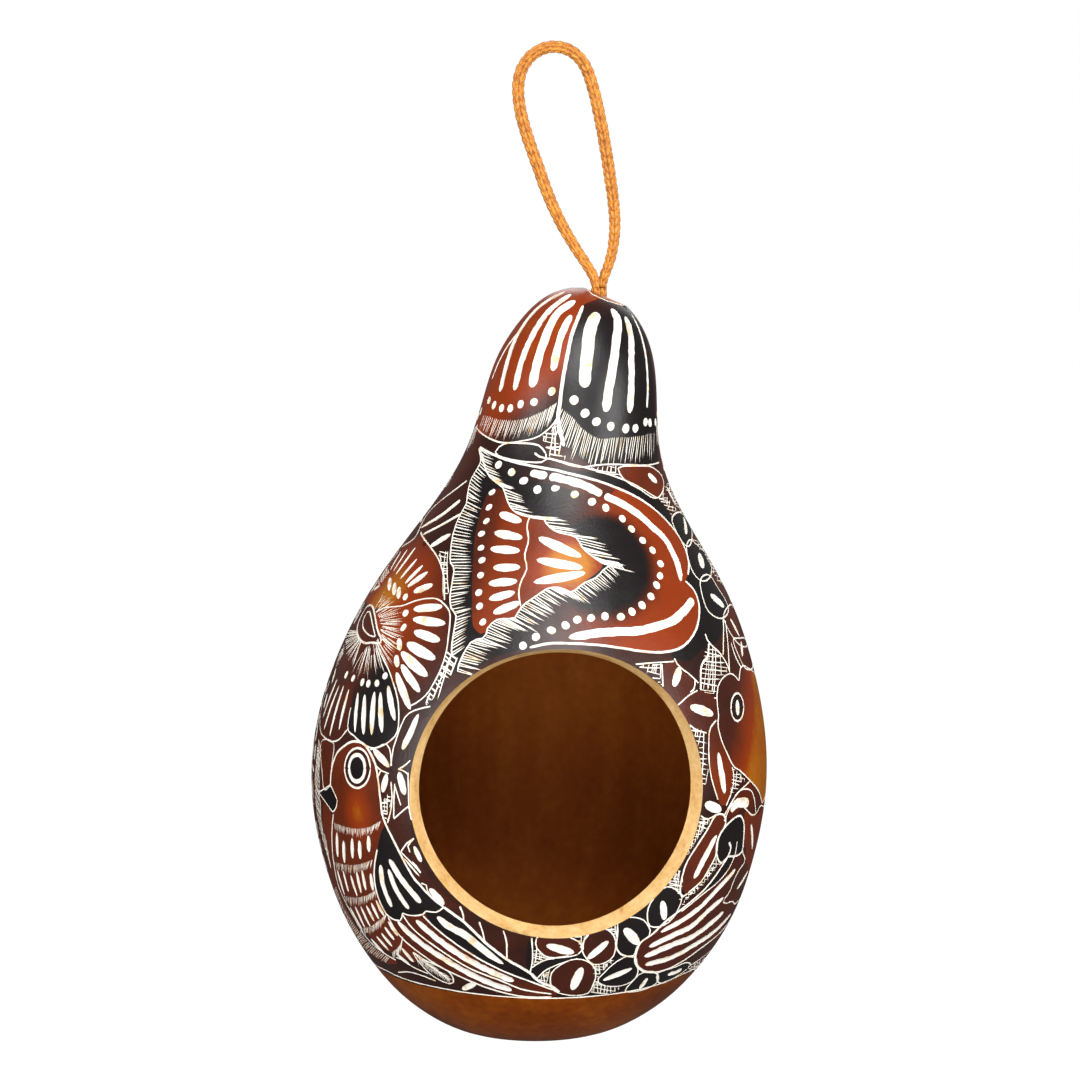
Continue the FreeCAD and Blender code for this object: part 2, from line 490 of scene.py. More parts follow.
def region(pen, outline, tone, width=0.0):
    """A closed stretch of one tone. A width adds the line cut round it."""
    line, run = smooth(pen(outline), closed=True)
    count = max(8, int(run[-1] / 1.4))
    marks = np.linspace(0, run[-1], count, endpoint=False)
    ring = np.interp(marks, run, line.real) + 1j * np.interp(marks, run, line.imag)
    carving.add([complex(p) for p in ring], "region", tone)
    if width:
        half = len(ring) // 2
        for part in (ring[:half + 1], np.append(ring[half:], ring[0])):
            cut([complex(p) for p in part], width, 0.2, 0.2, 0.04)


def leaf(pen, outline, tone, dash, dash_width, width=0.34):
    """A closed leaf with one oval gouge in it."""
    region(pen, outline, tone, width)
    dashes(pen, [dash], dash_width)


# The butterfly over the window

butterfly_left = [(479, 448), (480.6, 461.6), (471.5, 478), (467.4, 494.7), (466.5, 503), (460, 514.6),
        (453.3, 533), (450.8, 549.5), (450.8, 562.7), (454, 567.7), (452.4, 581), (450, 597.5),
        (451.6, 609), (455.8, 614), (454, 630.7), (451.6, 647), (452.4, 657)]
butterfly_upper = [(480.6, 448.3), (483, 461.6), (489.8, 476.5), (503, 488), (506.3, 496.4), (511.3, 508),
        (522.9, 515.5), (542.8, 517), (546, 523), (556, 531), (576, 537), (582.6, 547.8), (599, 561),
        (605.8, 564.4)]
butterfly_lower = [(619, 562), (605.8, 567.7), (595.9, 577.6), (584.3, 582.6), (571, 591.7), (561, 587.6),
        (549.5, 587.6), (536, 596), (526, 602.5), (519.6, 609), (514.6, 617.4), (498, 619), (488, 627),
        (484.8, 637), (473, 640.7), (465, 650.6), (459, 664), (457.4, 672)]
butterfly_crease = [(529.6, 517), (527, 526), (528.7, 539.5), (524.6, 556), (527, 567.7), (521.3, 581),
        (518.8, 592.6), (520.8, 606.7)]
upper_lobe = [(479.8, 446.6), (494.7, 455), (513, 461.6), (533, 465.7), (556, 470), (572.7, 474),
        (597.5, 480.6), (622.4, 489.8), (639, 498), (655.6, 509.7), (668.9, 523), (678.8, 536),
        (685.4, 549.5), (688.8, 562.7), (688, 574.3)]
lower_lobe = [(685.4, 581), (693.7, 589.3), (698.7, 602.5), (698.7, 619), (693.7, 634), (683.8, 645.6),
        (668.9, 651.4), (647.3, 651.4), (622.4, 648), (597.5, 644.8), (572.7, 643.2), (547.8, 643.2),
        (529.6, 647.3)]


def butterfly(pen):
    body = upper_lobe + lower_lobe + [(500, 655), (470, 668), (457, 672)] + butterfly_left[::-1]
    region(pen, body, darker(glow(pen, (600, 560), 18.0, 2.9, 0.25),
            fade(pen, (525, 560), (636, 573), 1.0, 0.25)))
    region(pen, [(480, 449), (520, 465), (580, 478), (615, 490), (600, 497), (560, 486), (530, 480),
            (500, 470)], fade(pen, (500, 465), (600, 490), 0.95, 0.6))
    panel = butterfly_upper[1:] + butterfly_lower[1:-1] + butterfly_left[::-1][:-1]
    region(pen, panel, flat(0.97))
    wedge = [(556, 531), (576, 538), (583, 549), (603, 564), (584, 582), (571, 591), (550, 588), (527, 602)]
    region(pen, [(503, 490), (508, 505), (520, 515), (543, 518)] + wedge + [(514, 617), (498, 619),
            (488, 627), (484, 634), (474, 628), (472, 600), (473, 560), (476, 530), (483, 505), (490, 490)],
            fade(pen, (474, 560), (500, 560), 0.62, 0.38))
    region(pen, [(529, 519), (542, 518)] + wedge + [(521, 605), (519, 592), (522, 580), (527, 567),
            (525, 556), (529, 540), (527, 527)], glow(pen, (570, 564), 12.5, -0.14, 0.42))
    cuts(pen, [butterfly_left, butterfly_upper, butterfly_lower, butterfly_crease], fine_line, 0.3, 0.3)
    cuts(pen, [upper_lobe, lower_lobe], 0.6, 0.3, 0.6)
    cuts(pen, [[(534.5, 452.4), (539.5, 455.8), (556, 460), (576, 465), (597.5, 470.7), (617.4, 477.3),
            (635.7, 484.8), (649, 493), (657, 498)]], fine_line)
    fringe(pen, butterfly_left, 68, (52, 11), (-32, 17), middle=(4, 20))
    fringe(pen, butterfly_upper, 52, (30, 13), (12, 34), middle=(8, 26))
    fringe(pen, butterfly_lower, 82, (42, 14), (14, 24), 0.24, middle=(30, 27))
    dots(pen, [(492, 492), (489, 507), (486.4, 521), (481.5, 533.4), (481, 547.5), (482, 560), (480.6, 575),
            (478.6, 592.6), (479.5, 606), (482.8, 622)], 1.75)
    dashes(pen, [(499.8, 513, 521.5, 521.7), (494.5, 531.8, 522.5, 538), (490.4, 548.4, 520, 550.5),
            (493, 566.9, 520.3, 566.9), (488.5, 583.2, 517.4, 581), (489, 598.9, 515, 592.2),
            (493, 612.8, 520, 602)], 2.2)
    dashes(pen, [(538.5, 537, 581.5, 556.5), (536.5, 559.5, 583, 567.5), (533.5, 582.2, 585.5, 572.3)],
            2.45)
    dots(pen, [(498.4, 464.4), (511.6, 471.8), (523.7, 480.3), (537.5, 489.3), (555.4, 488), (574.7, 494),
            (592, 501.4), (605.8, 507.7), (622.4, 518.3), (631.5, 528.7), (642.7, 540.3), (652.6, 550),
            (660.6, 563.6), (660, 575.7), (656.6, 585), (651, 596), (642, 604.7), (632, 611.6),
            (620.8, 616.6), (605, 615.8), (591, 617.8), (577.3, 619.4), (565.5, 625), (551.4, 630),
            (536, 636.5), (523, 645.6)], 2.0)
    cut(pen([(530.4, 472.3), (538, 474.2), (547, 476)]), 2.0, 1.2, 0.8, 0.1)
    cut(pen([(549.5, 475.7), (569.4, 480.6), (584.3, 485.6), (602, 494)]), 2.0, 0.8, 0.8, 0.12)
    cut(pen([(604.5, 495.5), (622.4, 503.8), (639, 514.6), (653.9, 528), (665.5, 539.5), (673.8, 554.4),
            (678.8, 567.7), (680.5, 581)]), 2.1, 1.0, 5.0, 0.12)
    cut(pen([(568.5, 637.5), (589.3, 634), (614, 631.5), (639, 630.7), (658.9, 625.7), (672, 620.8),
            (683.8, 610.8), (693, 599)]), 2.2, 4.0, 1.2, 0.12)


# Petals round the neck, in two colours

neck_seam = [(583, 305), (572.7, 331.6), (566.8, 358), (562.4, 381.5), (560, 402)]
petal_hem = [(552, 425.5), (539, 435.8), (521.3, 441), (502.3, 442.4), (487.6, 437)]
petals_orange = [([(518.4, 331.6), (503.7, 352), (492, 379)], 0.9), ([(565.3, 291.3), (536, 309.6),
        (518.4, 333), (506.7, 364), (500, 391.8)], 1.7), ([(571, 294), (546, 314), (530, 340), (520.6, 364),
        (514.7, 390)], 1.9), ([(575, 300), (556.5, 314), (546, 336), (537.5, 361), (532, 387.4)], 2.4),
        ([(571, 314.7), (564, 328.7), (558, 346), (553, 371)], 1.9)]
petals_black = [([(597, 312), (590.3, 328.7), (587.4, 352), (585.2, 372.7), (585.2, 387.5)], 3.0),
        ([(611.6, 308), (617.5, 318.4), (616.7, 336), (614, 358), (609.5, 385), (605.7, 412)], 2.4),
        ([(625.5, 316), (630.5, 333), (631.4, 358), (631.4, 387.4), (629.6, 413)], 2.1), ([(631.4, 314),
        (640, 331.6), (646, 358), (647.8, 387.4), (647, 408)], 1.0)]


def petal_orange(pen):
    region(pen, [(578, 288), (600, 296)] + neck_seam + [(558.5, 416)] + petal_hem + [(476, 427), (480, 400),
            (494, 360), (512, 325), (545, 294)], fade(pen, (520, 385), (545, 432), 0.22, 0.97))
    cuts(pen, [[(476.6, 427), *petal_hem[::-1], (558, 416.7)]], fine_line)
    for points, width in petals_orange:
        cut(pen(points), width, 3.0, 2.0, 0.12)
    dots(pen, [(489, 400), (494, 405), (501.5, 408), (510.3, 408), (520.6, 404), (534, 402), (551.7, 391)],
            2.0)
    fringe(pen, [(483, 414), (500, 419), (520, 419), (540, 412), (557, 402)], 40, (112, 20), (104, 24),
            0.18, 4)


def petal_black(pen):
    region(pen, [(583, 305), (600, 300), (628, 306), (648, 345), (655, 400), (659, 461), (631.4, 464.4),
            (602, 464.4), (585, 462), (570, 448), (564, 446), (558, 419.6)] + neck_seam[:0:-1],
            fade(pen, (585, 300), (600, 330), 0.7, 0.98))
    region(pen, [(592, 289), (601, 289), (612, 292), (622, 299), (625, 305), (618, 304), (608, 299.5),
            (598, 296)], flat(0.14))
    cut(pen([(586, 288), (591, 293), (599, 297), (610, 301.5), (624, 305.5)]), 0.35, 0.3, 1.5)
    cut(pen(neck_seam + [(558, 419.6), (564, 446)]), 0.9, 2.0, 1.0, 0.05)
    for points, width in petals_black:
        cut(pen(points), width, 2.5, 2.0, 0.12)
    dots(pen, [(574, 400), (585, 413), (596.4, 421.5), (610.8, 426), (625.8, 428.4), (635.5, 428),
            (645.6, 421.8), (650, 422.6), (655.6, 421.8)], 2.2)
    fringe(pen, [(562, 408), (572, 416), (585, 430), (600, 438), (615, 437), (635, 436), (655, 432)], 50,
            (115, 34), (92, 28), 0.18, 4, middle=(103, 30))
    cuts(pen, [[(534.5, 453.4), (540, 457), (552, 459), (578.5, 466.6), (602, 464.4), (631.4, 464.4),
            (645, 465), (659, 462)]], fine_line)


def neck(pen):
    petal_orange(pen)
    petal_black(pen)
    lattice(pen, [(540, 438), (556, 424), (563, 446), (566, 459), (550, 460), (546, 446)], 4.4)
    lattice(pen, [(585, 467), (617, 466), (624, 478), (604, 474)], 3.6)
    region(pen, [(495, 452), (503, 444), (520, 443), (540, 446), (547, 458), (545, 461), (520, 461)],
            flat(0.93), 0.4)


# The leaves on the right shoulder

def right_shoulder(pen):
    leaf(pen, [(618, 468), (636, 466), (652, 467), (663, 478), (663, 490), (655, 498), (640, 489),
            (625, 480)], flat(0.52), (648, 474, 657, 482), 1.9)
    region(pen, [(500, 461), (536, 464), (575, 470), (617, 477), (655, 497), (680, 525), (695, 560),
            (712, 590), (724, 612), (718, 640), (700, 650), (690, 660), (670, 656), (690, 640), (698, 620),
            (698, 600), (688, 585), (688, 562), (680, 538), (660, 513), (630, 493), (590, 479), (550, 469)],
            flat(0.98))
    lattice(pen, [(658, 498), (664, 489), (668, 500), (677, 510), (672, 515)], 3.4)
    dashes(pen, [(666.9, 486.5, 675.8, 505)], 1.4)
    leaf(pen, [(672, 520.8), (673.6, 514.7), (681.2, 512.5), (689, 522), (692, 536), (686, 546)],
            flat(0.98), (683.8, 517, 685.6, 534), 1.6, 0.4)
    leaf(pen, [(686.3, 547), (690.4, 539.2), (697.6, 545.3), (707, 555.5), (711, 574), (700, 580),
            (692, 570)], flat(0.98), (700.4, 553.5, 701.2, 567), 2.9, 0.4)
    leaf(pen, [(700, 580), (710, 575), (717, 586), (728, 605.5), (723, 617.8), (714, 616), (706.7, 608.6)],
            flat(0.98), (710.3, 594.6, 724.2, 605.8), 2.5, 0.4)
    leaf(pen, [(723.5, 618), (728, 606.5), (733, 606), (741, 620), (748, 640), (740, 645), (731, 634)],
            flat(0.6), (730.2, 618.5, 739.4, 636.2), 1.6, 0.4)
    leaf(pen, [(733, 640), (738, 638), (748, 642), (752, 660), (745, 668), (739, 656)], flat(0.6),
            (741.2, 641, 742.2, 656.5), 1.5, 0.4)
    lattice(pen, [(690, 538), (697, 540), (712, 556), (724, 585), (716, 578), (704, 552)], 3.2)
    lattice(pen, [(664, 484), (672, 482), (686, 512), (680, 512)], 3.2)
    cuts(pen, [[(705.2, 633.2), (707.8, 640.8), (720, 653), (726, 662), (730, 672)], [(723.1, 618.5),
            (723.4, 640), (723.1, 655.1)], [(725.1, 620), (728, 645), (729.2, 670.4)], [(741, 667),
            (735, 655), (731, 642)]], 0.45)
    lattice(pen, [(708.8, 642.9), (720, 653), (730.2, 671.4), (720, 678.6), (715.9, 699), (700.6, 689.8),
            (701.6, 665.3), (705, 655)], 4.6)
    cuts(pen, [[(708.8, 643), (707.8, 655.1), (701.6, 665.3), (700.6, 689.8)]], 0.55)
    cuts(pen, [[(635.3, 663.8), (655, 662.3), (674.1, 661.2)], [(661.8, 663.3), (662.9, 686.7)]], fine_line)
    lattice(pen, [(638.4, 665.3), (661.8, 663.3), (662.9, 685.7), (650, 675)], 3.8)
    region(pen, [(664, 664), (674, 661), (690, 675), (695, 686), (678, 704), (664, 690)], flat(0.62))
    cuts(pen, [[(674.1, 657.7), (678.2, 665.3), (691.4, 675.5), (698.6, 682.7)], [(695, 678.6),
            (694.5, 687.8), (690, 692)], [(677.7, 705), (688, 696), (697.6, 690.2)]], fine_line)
    dashes(pen, [(680, 667, 673.6, 686.2)], 2.3)


# The two birds

def right_bird(pen):
    head = [(738.9, 680.6), (735.3, 676), (730.2, 673.5), (722, 678.6), (718, 686.7), (716.9, 698),
            (718.5, 715.3), (718, 725), (722, 741.2), (728.2, 755.5), (733.3, 765.7), (740.4, 770.8),
            (750.6, 781), (758.8, 791.2), (762, 803), (768, 790), (770, 750), (768, 715), (762, 690),
            (755.7, 676.5), (748.6, 668.4), (743.5, 665.3), (740.4, 668.4)]
    region(pen, head, fade(pen, (729, 710), (757, 740), 0.7, 0.1))
    cut(pen(head[:15]), fine_line, 0.3, 0.3)
    cut(pen(head[14:] + head[:1]), fine_line)
    eye = [(737.3 + 6.4 * math.cos(a), 707 + 14 * math.sin(a)) for a in np.linspace(0, 2 * math.pi,
            12)[:-1]]
    region(pen, eye, flat(0.85), 0.5)
    cut(pen([(737.4, 699.5), (737.6, 715)]), 1.9, 1.8, 1.8, 0.06)


def right_leaves(pen):
    region(pen, [(745, 812), (757, 815), (765, 806), (768, 850), (762, 880), (744, 905), (733, 900),
            (745, 860), (744, 830)], flat(0.46))
    region(pen, [(678, 704), (698, 690), (716, 699), (718, 720), (708, 733), (690, 725), (682, 712)],
            flat(0.62))
    dashes(pen, [(690, 706.3, 713.4, 714)], 2.4)
    lattice(pen, [(689.4, 724.9), (706.7, 733), (707.5, 760), (707, 786), (701, 783), (698.5, 745)], 4.2)
    cuts(pen, [[(689.4, 724.9), (697, 730), (706.7, 733)]], fine_line)
    near_edge = [(716.4, 719.3), (709.8, 729), (708.8, 741.2), (708.8, 753.5), (710.3, 771.8)]
    region(pen, near_edge + [(718, 799.4), (722, 806), (727, 803), (732.2, 790.2), (733.8, 774.9),
            (732.2, 766.7), (726, 752), (720, 735)], fade(pen, (715, 735), (720, 775), 0.6, 0.42))
    cuts(pen, [near_edge + [(714, 787), (718, 799.4)], [(732.2, 766.7), (733.8, 774.9), (732.2, 790.2),
            (726.1, 805.5)]], fine_line)
    cut(pen([(718.2, 752), (721, 770), (724.8, 793.5)]), 2.2, 5.0, 4.0, 0.1)
    dashes(pen, [(704.8, 803.8, 721.4, 810)], 2.5)
    lattice(pen, [(733.5, 768), (746, 779), (738, 788), (731, 795)], 3.2)
    region(pen, [(724, 816), (730, 804.5), (737.3, 793.3), (749.6, 781), (757, 792), (760.8, 804),
            (754, 812), (746, 806), (738, 812), (731, 818)], flat(0.6))
    cuts(pen, [[(724.1, 815.7), (730.2, 804.5), (737.3, 793.3), (749.6, 781)], [(724.1, 821), (731, 804),
            (738.4, 791.2), (750.6, 790.2), (754.7, 800.4), (755.7, 812.7)], [(744, 807), (748, 811),
            (752, 815), (757, 812), (760, 806), (764, 806.5)]], fine_line)
    cut(pen([(730.6, 810.4), (735, 804.5), (741, 802.2), (748.8, 803)]), 2.3, 1.2, 1.2, 0.12)
    region(pen, [(715.9, 814.8), (707.8, 828.6), (695.5, 848), (686.3, 863.3), (681.2, 880.6),
            (680.2, 889.8), (682.2, 896.9), (691.4, 889.8), (701.6, 880.6), (709.8, 867.3), (715.9, 855.1),
            (718.5, 838), (726, 823), (724, 815)], flat(0.56), 0.5)
    cut(pen([(716.8, 834.5), (706, 855.1), (694, 878.5)]), 2.0, 4.0, 3.0, 0.1)
    cuts(pen, [[(700.6, 815.3), (707, 819), (716, 814.5)]], fine_line)
    lattice(pen, [(701, 816), (707, 820), (714, 816), (704, 833), (692, 851), (684, 862), (676, 868),
            (688, 845), (697, 830)], 3.0)
    lattice(pen, [(716, 858), (721, 864), (706, 882), (684, 903), (688, 894), (704, 880), (711, 868)], 3.0)
    lattice(pen, [(680, 870), (683, 880), (680, 895), (671, 885), (664, 883)], 3.0)


def wing(pen):
    region(pen, [(734.3, 817.9), (727.1, 824.5), (719, 835.7), (716.4, 845.9), (716.9, 856.1), (722, 863.3),
            (727, 857), (736, 856), (742.4, 851), (743.5, 840.8), (744, 823.5), (740.4, 815.3)], flat(0.99),
            0.5)
    blade = [(735, 853), (731, 866), (720.8, 879), (702.4, 894), (682, 911), (666.7, 921), (651.4, 934.7),
            (641.2, 941.8), (636.1, 952), (635.6, 962.2), (641.2, 969.4), (651.4, 971.9), (663.7, 970.4),
            (682, 961.2), (702.4, 948), (720.8, 932.6), (733.1, 915.3), (742, 895), (748, 872), (745, 860)]
    region(pen, blade, flat(0.62))
    shadow = [(730.7, 848), (727.1, 857.1), (720, 869.4), (706.7, 886.7), (691.4, 901), (680.2, 910),
            (666.7, 920.4), (681.2, 911.2), (701.6, 894.9), (720, 879.6), (730.2, 866.3), (735.3, 853),
            (737.3, 840.8)]
    region(pen, shadow, flat(0.95))
    cut(pen([(729, 842), (731, 847), (729, 854), (722, 866), *shadow[3:7], *blade[6:14], (702.4, 946.9),
            (720.8, 931.6), (733.1, 915.3)]), 0.6, 0.4, 0.6)
    cuts(pen, [shadow[:6:-1], [(744, 823.5), (743.5, 840.8), (742.4, 851), (745, 860.7), (739, 870),
            (733.3, 881.6), (730.2, 890.8), (723.1, 901), (727, 903), (732, 901), (735, 903.5), (740, 898)],
            [(688.2, 966.5), (704, 956), (717.8, 943), (731, 931)]], fine_line)
    cut(pen([(660.6, 931.8), (682, 920), (702.4, 905.1), (717.8, 888.8), (735.5, 869)]), 1.6, 3.5, 3.0,
            0.12)
    cut(pen([(649, 946.3), (671.8, 935.7), (692.2, 925.5), (707.6, 911.2), (723.5, 897.5)]), 1.75, 2.5, 3.0,
            0.12)
    cut(pen([(644.2, 956), (671.8, 944.9), (692.2, 936.7), (712.7, 921.4), (723.5, 912)]), 1.9, 2.5, 3.0,
            0.12)
    cut(pen([(645, 964.3), (671.8, 957.1), (692.2, 945.9), (712.7, 932.7), (731, 913.6)]), 1.7, 2.5, 3.0,
            0.12)
    dashes(pen, [(751, 824, 752.3, 849)], 1.4)
    dashes(pen, [(748.2, 870.5, 736.8, 889)], 1.6)
    lattice(pen, [(688, 968), (704, 958), (722, 944), (733, 930), (728, 945), (712, 962), (696, 972)], 3.4)


def left_bird(pen):
    body = [(330.4, 785.2), (330.9, 774), (333, 762.8), (336.5, 753.6), (343.7, 746.4), (350.8, 741.8),
            (358, 741.3), (365.1, 744.9), (370.2, 752.6), (375.3, 763.8), (377.9, 778), (380.4, 798.5),
            (382.4, 814.8), (385.5, 824), (394.7, 842.3), (401.8, 856.6), (412, 875), (420.2, 885),
            (432.4, 898), (443.7, 906.6), (430, 925), (416, 962), (400, 955), (386, 950), (372, 938),
            (358, 922), (346, 900), (336.5, 884.2), (334.5, 867.9), (331.9, 837.2), (333.5, 813.8),
            (331, 800)]
    region(pen, [(321, 742), (334, 744), (332, 762), (330, 784), (324, 789), (322, 770)], flat(0.56), 0.3)
    region(pen, [(324, 803), (332, 815), (331, 840), (334, 872), (345, 905), (366, 940), (398, 962),
            (384, 962), (352, 930), (336, 896), (328, 860)], flat(0.5))
    fringe(pen, [(336, 886), (343, 905), (356, 927), (372, 945), (390, 958)], 46, (140, 9), (128, 8), 0.15,
            6)
    dashes(pen, [(327, 850, 331, 868), (328, 872, 333, 890)], 0.9)
    region(pen, body, glow(pen, (357, 812), 9.5, 0.1, 0.52, 0.8))
    cut(pen([(333.5, 813.8), (331.9, 837.2), (334.5, 867.9), (340, 890), (352, 914), (367, 938), (384, 953),
            (396, 960)]), 0.45)
    cut(pen(body[:20]), 0.6, 0.3, 0.5)
    region(pen, [(318.7, 792.3), (319.3, 791.8), (325, 788), (329.8, 785), (330.4, 784.7), (330.8, 785.3),
            (334, 792), (337.6, 800.3), (338, 801), (337.7, 801.9), (336, 807), (333.8, 812),
            (333.5, 812.8), (332.8, 812.1), (326, 802.5), (319.3, 793)], flat(0.98), fine_line)
    ring = np.linspace(0, 2 * math.pi, 17)[:-1]
    region(pen, [(357.4 + 12.8 * math.cos(a), 767.9 + 19.9 * math.sin(a)) for a in ring], flat(0.75), 0.55)
    region(pen, [(357 + 8 * math.cos(a), 767.9 + 13.5 * math.sin(a)) for a in ring], flat(0.99), 1.0)
    for base, count in (([(334, 822), (345, 826), (358, 828), (370, 826), (381, 820)], 38),
                        ([(334, 861), (345, 864), (358, 864), (373, 859)], 32),
                        ([(344, 895), (355, 897), (366, 895), (377, 889)], 28),
                        ([(360, 928), (370, 926), (379, 920), (387, 913)], 28),
                        ([(392, 952), (397, 948), (401, 943), (403, 936)], 20)):
        fringe(pen, base, count, (82, 9.5), (104, 9.5), 0.15, 6)
    dashes(pen, [(337, 832.2, 337.8, 857.1), (343.7, 840.3, 344.4, 862.7), (352.3, 837.8, 352.5, 858.1),
            (359.5, 840.3, 360.2, 859.2), (368.7, 835.7, 368.9, 852)], 1.5)
    dashes(pen, [(337.2, 869.4, 344.6, 894.9), (343, 870.4, 348.6, 891.8), (350.5, 874.5, 357.2, 895.9),
            (356.6, 871.4, 361.2, 892.8), (361.9, 869.9, 366, 890.3), (370.6, 873, 373, 890.3)], 1.25)
    dashes(pen, [(349.8, 906.7, 362.6, 930), (355, 906.1, 365, 927.5), (360.6, 906.1, 370.2, 926.5),
            (366.2, 905.1, 374.3, 921.4), (371.3, 902.6, 378.8, 918.9), (375.9, 900, 384, 915.8)], 1.25)
    dashes(pen, [(370.6, 938.3, 384.8, 953.6), (376.2, 935.7, 388.8, 950), (381.3, 932.7, 392.3, 946.4),
            (384.5, 926.6, 394.3, 939.8), (388.1, 920.9, 397.8, 935.7)], 1.3)
    dashes(pen, [(396, 953.2, 410.4, 965.1), (401.6, 947.6, 413.8, 962.2)], 1.35)
    feathers = [(377.3, 849), (383, 828), (386.5, 826), *body[14:19], (443.7, 906.8), (437.6, 911.7),
            (430.4, 911.7), (425.8, 910.7), (423.3, 913.8), (418.2, 915.3), (408, 914.8), (402.3, 912.8),
            (399.8, 920.4), (394.7, 919.9), (387.6, 915.3), (380.4, 903), (376.3, 890.8), (374.3, 878),
            (374.8, 862.8)]
    region(pen, feathers, flat(0.99))
    cut(pen(feathers[:1] + feathers[:15:-1]), 0.5)
    cuts(pen, [[(399.8, 920.4), (402, 917), (402.3, 912.8)], feathers[15:10:-1], feathers[11:7:-1]],
            fine_line)
    cut(pen([(380.7, 864.5), (383, 885), (391.8, 906.8)]), 1.5, 2.0, 1.5, 0.08)
    cut(pen([(388.3, 868.8), (396.7, 890.8), (408.8, 908.9)]), 1.5, 2.5, 1.5, 0.08)
    cut(pen([(389.2, 859), (401.8, 879.6), (421, 902.6)]), 1.8, 2.5, 1.5, 0.08)


def tail_feathers(pen):
    tail = [(399.8, 920.4), (405, 914.5), (418, 915.5), (437.6, 911.7), (443.7, 907), (463.5, 921.4),
            (484.9, 941.8), (507.3, 959.2), (529.8, 972.4), (552.2, 986.7), (559.4, 991.8), (552.2, 996.5),
            (521.6, 995.9), (491, 988.8), (460.4, 976.5), (440, 966.3), (420.2, 953), (399.8, 935.7),
            (387.6, 916.3)]
    region(pen, tail, flat(0.6))
    region(pen, [(425, 911), *tail[4:10], (529.8, 982.7), (501.2, 971.4), (470.6, 955.1), (440, 932.7)],
            flat(0.98))
    cut(pen([(443.7, 906.8), *tail[5:9], (538, 980.6), *tail[9:11]]), 0.75, 0.3, 0.6, 0.06)
    cuts(pen, [[(422.8, 915.3), (437.6, 929.6), (470.6, 953.5), (501.2, 970), (529.8, 981), (560, 992)],
            [(401.8, 913.3), (412, 927.6), (437.6, 948), (470.6, 968.4), (501.2, 980.6), (521.6, 988.8),
            (552.2, 993.9)], [*tail[:11:-1], (552.2, 996.9)]], 0.5, 0.3, 0.6)
    cut(pen([(437, 916), (446, 924.5), (466, 935.5), (484.9, 951.5), (504, 964.3)]), 2.1, 3.0, 9.0, 0.12)
    cut(pen([(415.8, 920), (428, 931), (448, 946.5), (474, 963), (500, 975.5), (514, 981)]), 1.9, 3.0, 2.0,
            0.14)
    cut(pen([(397.6, 921), (408, 932), (422.2, 944), (446, 960), (470, 973.8), (492, 983.5), (512, 990.3)]),
            1.9, 2.5, 2.0, 0.14)


def left_leaves(pen):
    region(pen, [(430.5, 706.3), (418, 709), (407, 714.5), (400.9, 725.7), (396, 742), (392, 765),
            (385, 772), (392, 782), (400, 790), (404, 800), (409, 812), (413, 840), (424, 868), (442, 893),
            (460, 908), (444, 906), (420, 884), (402, 857), (386, 824), (381, 800), (377.5, 775),
            (375, 763), (371, 752), (389, 742), (399, 730), (405, 712)], flat(0.7))
    cuts(pen, [[(430.5, 706.3), (418, 709), (407, 714.5), (400.9, 725.7), (396.5, 738), (392.5, 752),
            (391, 766)], [(370.2, 749.5), (378, 747), (385.5, 743.4), (389.6, 748.5), (391.6, 765.8)],
            [(375.3, 764.8), (381, 770), (389, 773.5)], [(375.5, 766), (378, 776), (381, 769.5)]],
            fine_line)
    cut(pen([(418.6, 713.5), (411, 731), (402.4, 749.5)]), 1.7, 4.5, 2.0, 0.08)
    dashes(pen, [(373.2, 748.6, 389.4, 766.8)], 1.9)
    dashes(pen, [(386.8, 773.8, 382.6, 792.4)], 1.8)
    dashes(pen, [(398.9, 771.8, 404.8, 794.6)], 2.0)
    cuts(pen, [[(391.1, 781.6), (392, 795), (391.6, 806.6), (387.6, 823)], [(394.7, 783.2), (394, 800),
            (393.7, 817.9)], [(394.7, 785.2), (400.8, 805.6)], [(393.7, 818.9), (401, 812), (408.5, 806.1)],
            [(408, 772), (408.5, 790), (409, 806.6), (411.5, 820)], [(398, 769), (404, 766), (410.5, 760)],
            [(398, 769), (404, 770.5), (409, 775)], [(400.8, 851.5), (406, 844), (414, 838)], [(414, 838),
            (408, 846), (410, 852)], [(400.8, 851.5), (411, 862), (421, 873)], [(460, 906.1), (463, 913),
            (463.5, 920.4)]], fine_line)
    lattice(pen, [(381.5, 802), (387, 796), (391, 792), (391.5, 806), (387.6, 822), (384, 815)], 3.2)
    dashes(pen, [(414, 846, 421.4, 862)], 1.5)
    dashes(pen, [(404, 858, 419.6, 876), (407, 866, 417, 883), (412, 861, 421, 872)], 0.55)
    dashes(pen, [(429.6, 888, 444.2, 904.2)], 2.0)
    cuts(pen, [[(421, 883), (426, 884.5), (428, 892), (434, 899)], [(459.4, 906.6), (461.9, 911.2),
            (464, 920.4)], [(479.3, 921.4), (482, 930), (484.9, 940.8)], [(503.3, 930.1), (505.5, 937),
            (506.8, 944.9), (506.8, 958.2)]], fine_line)


right_rays = 52
left_rays = 22


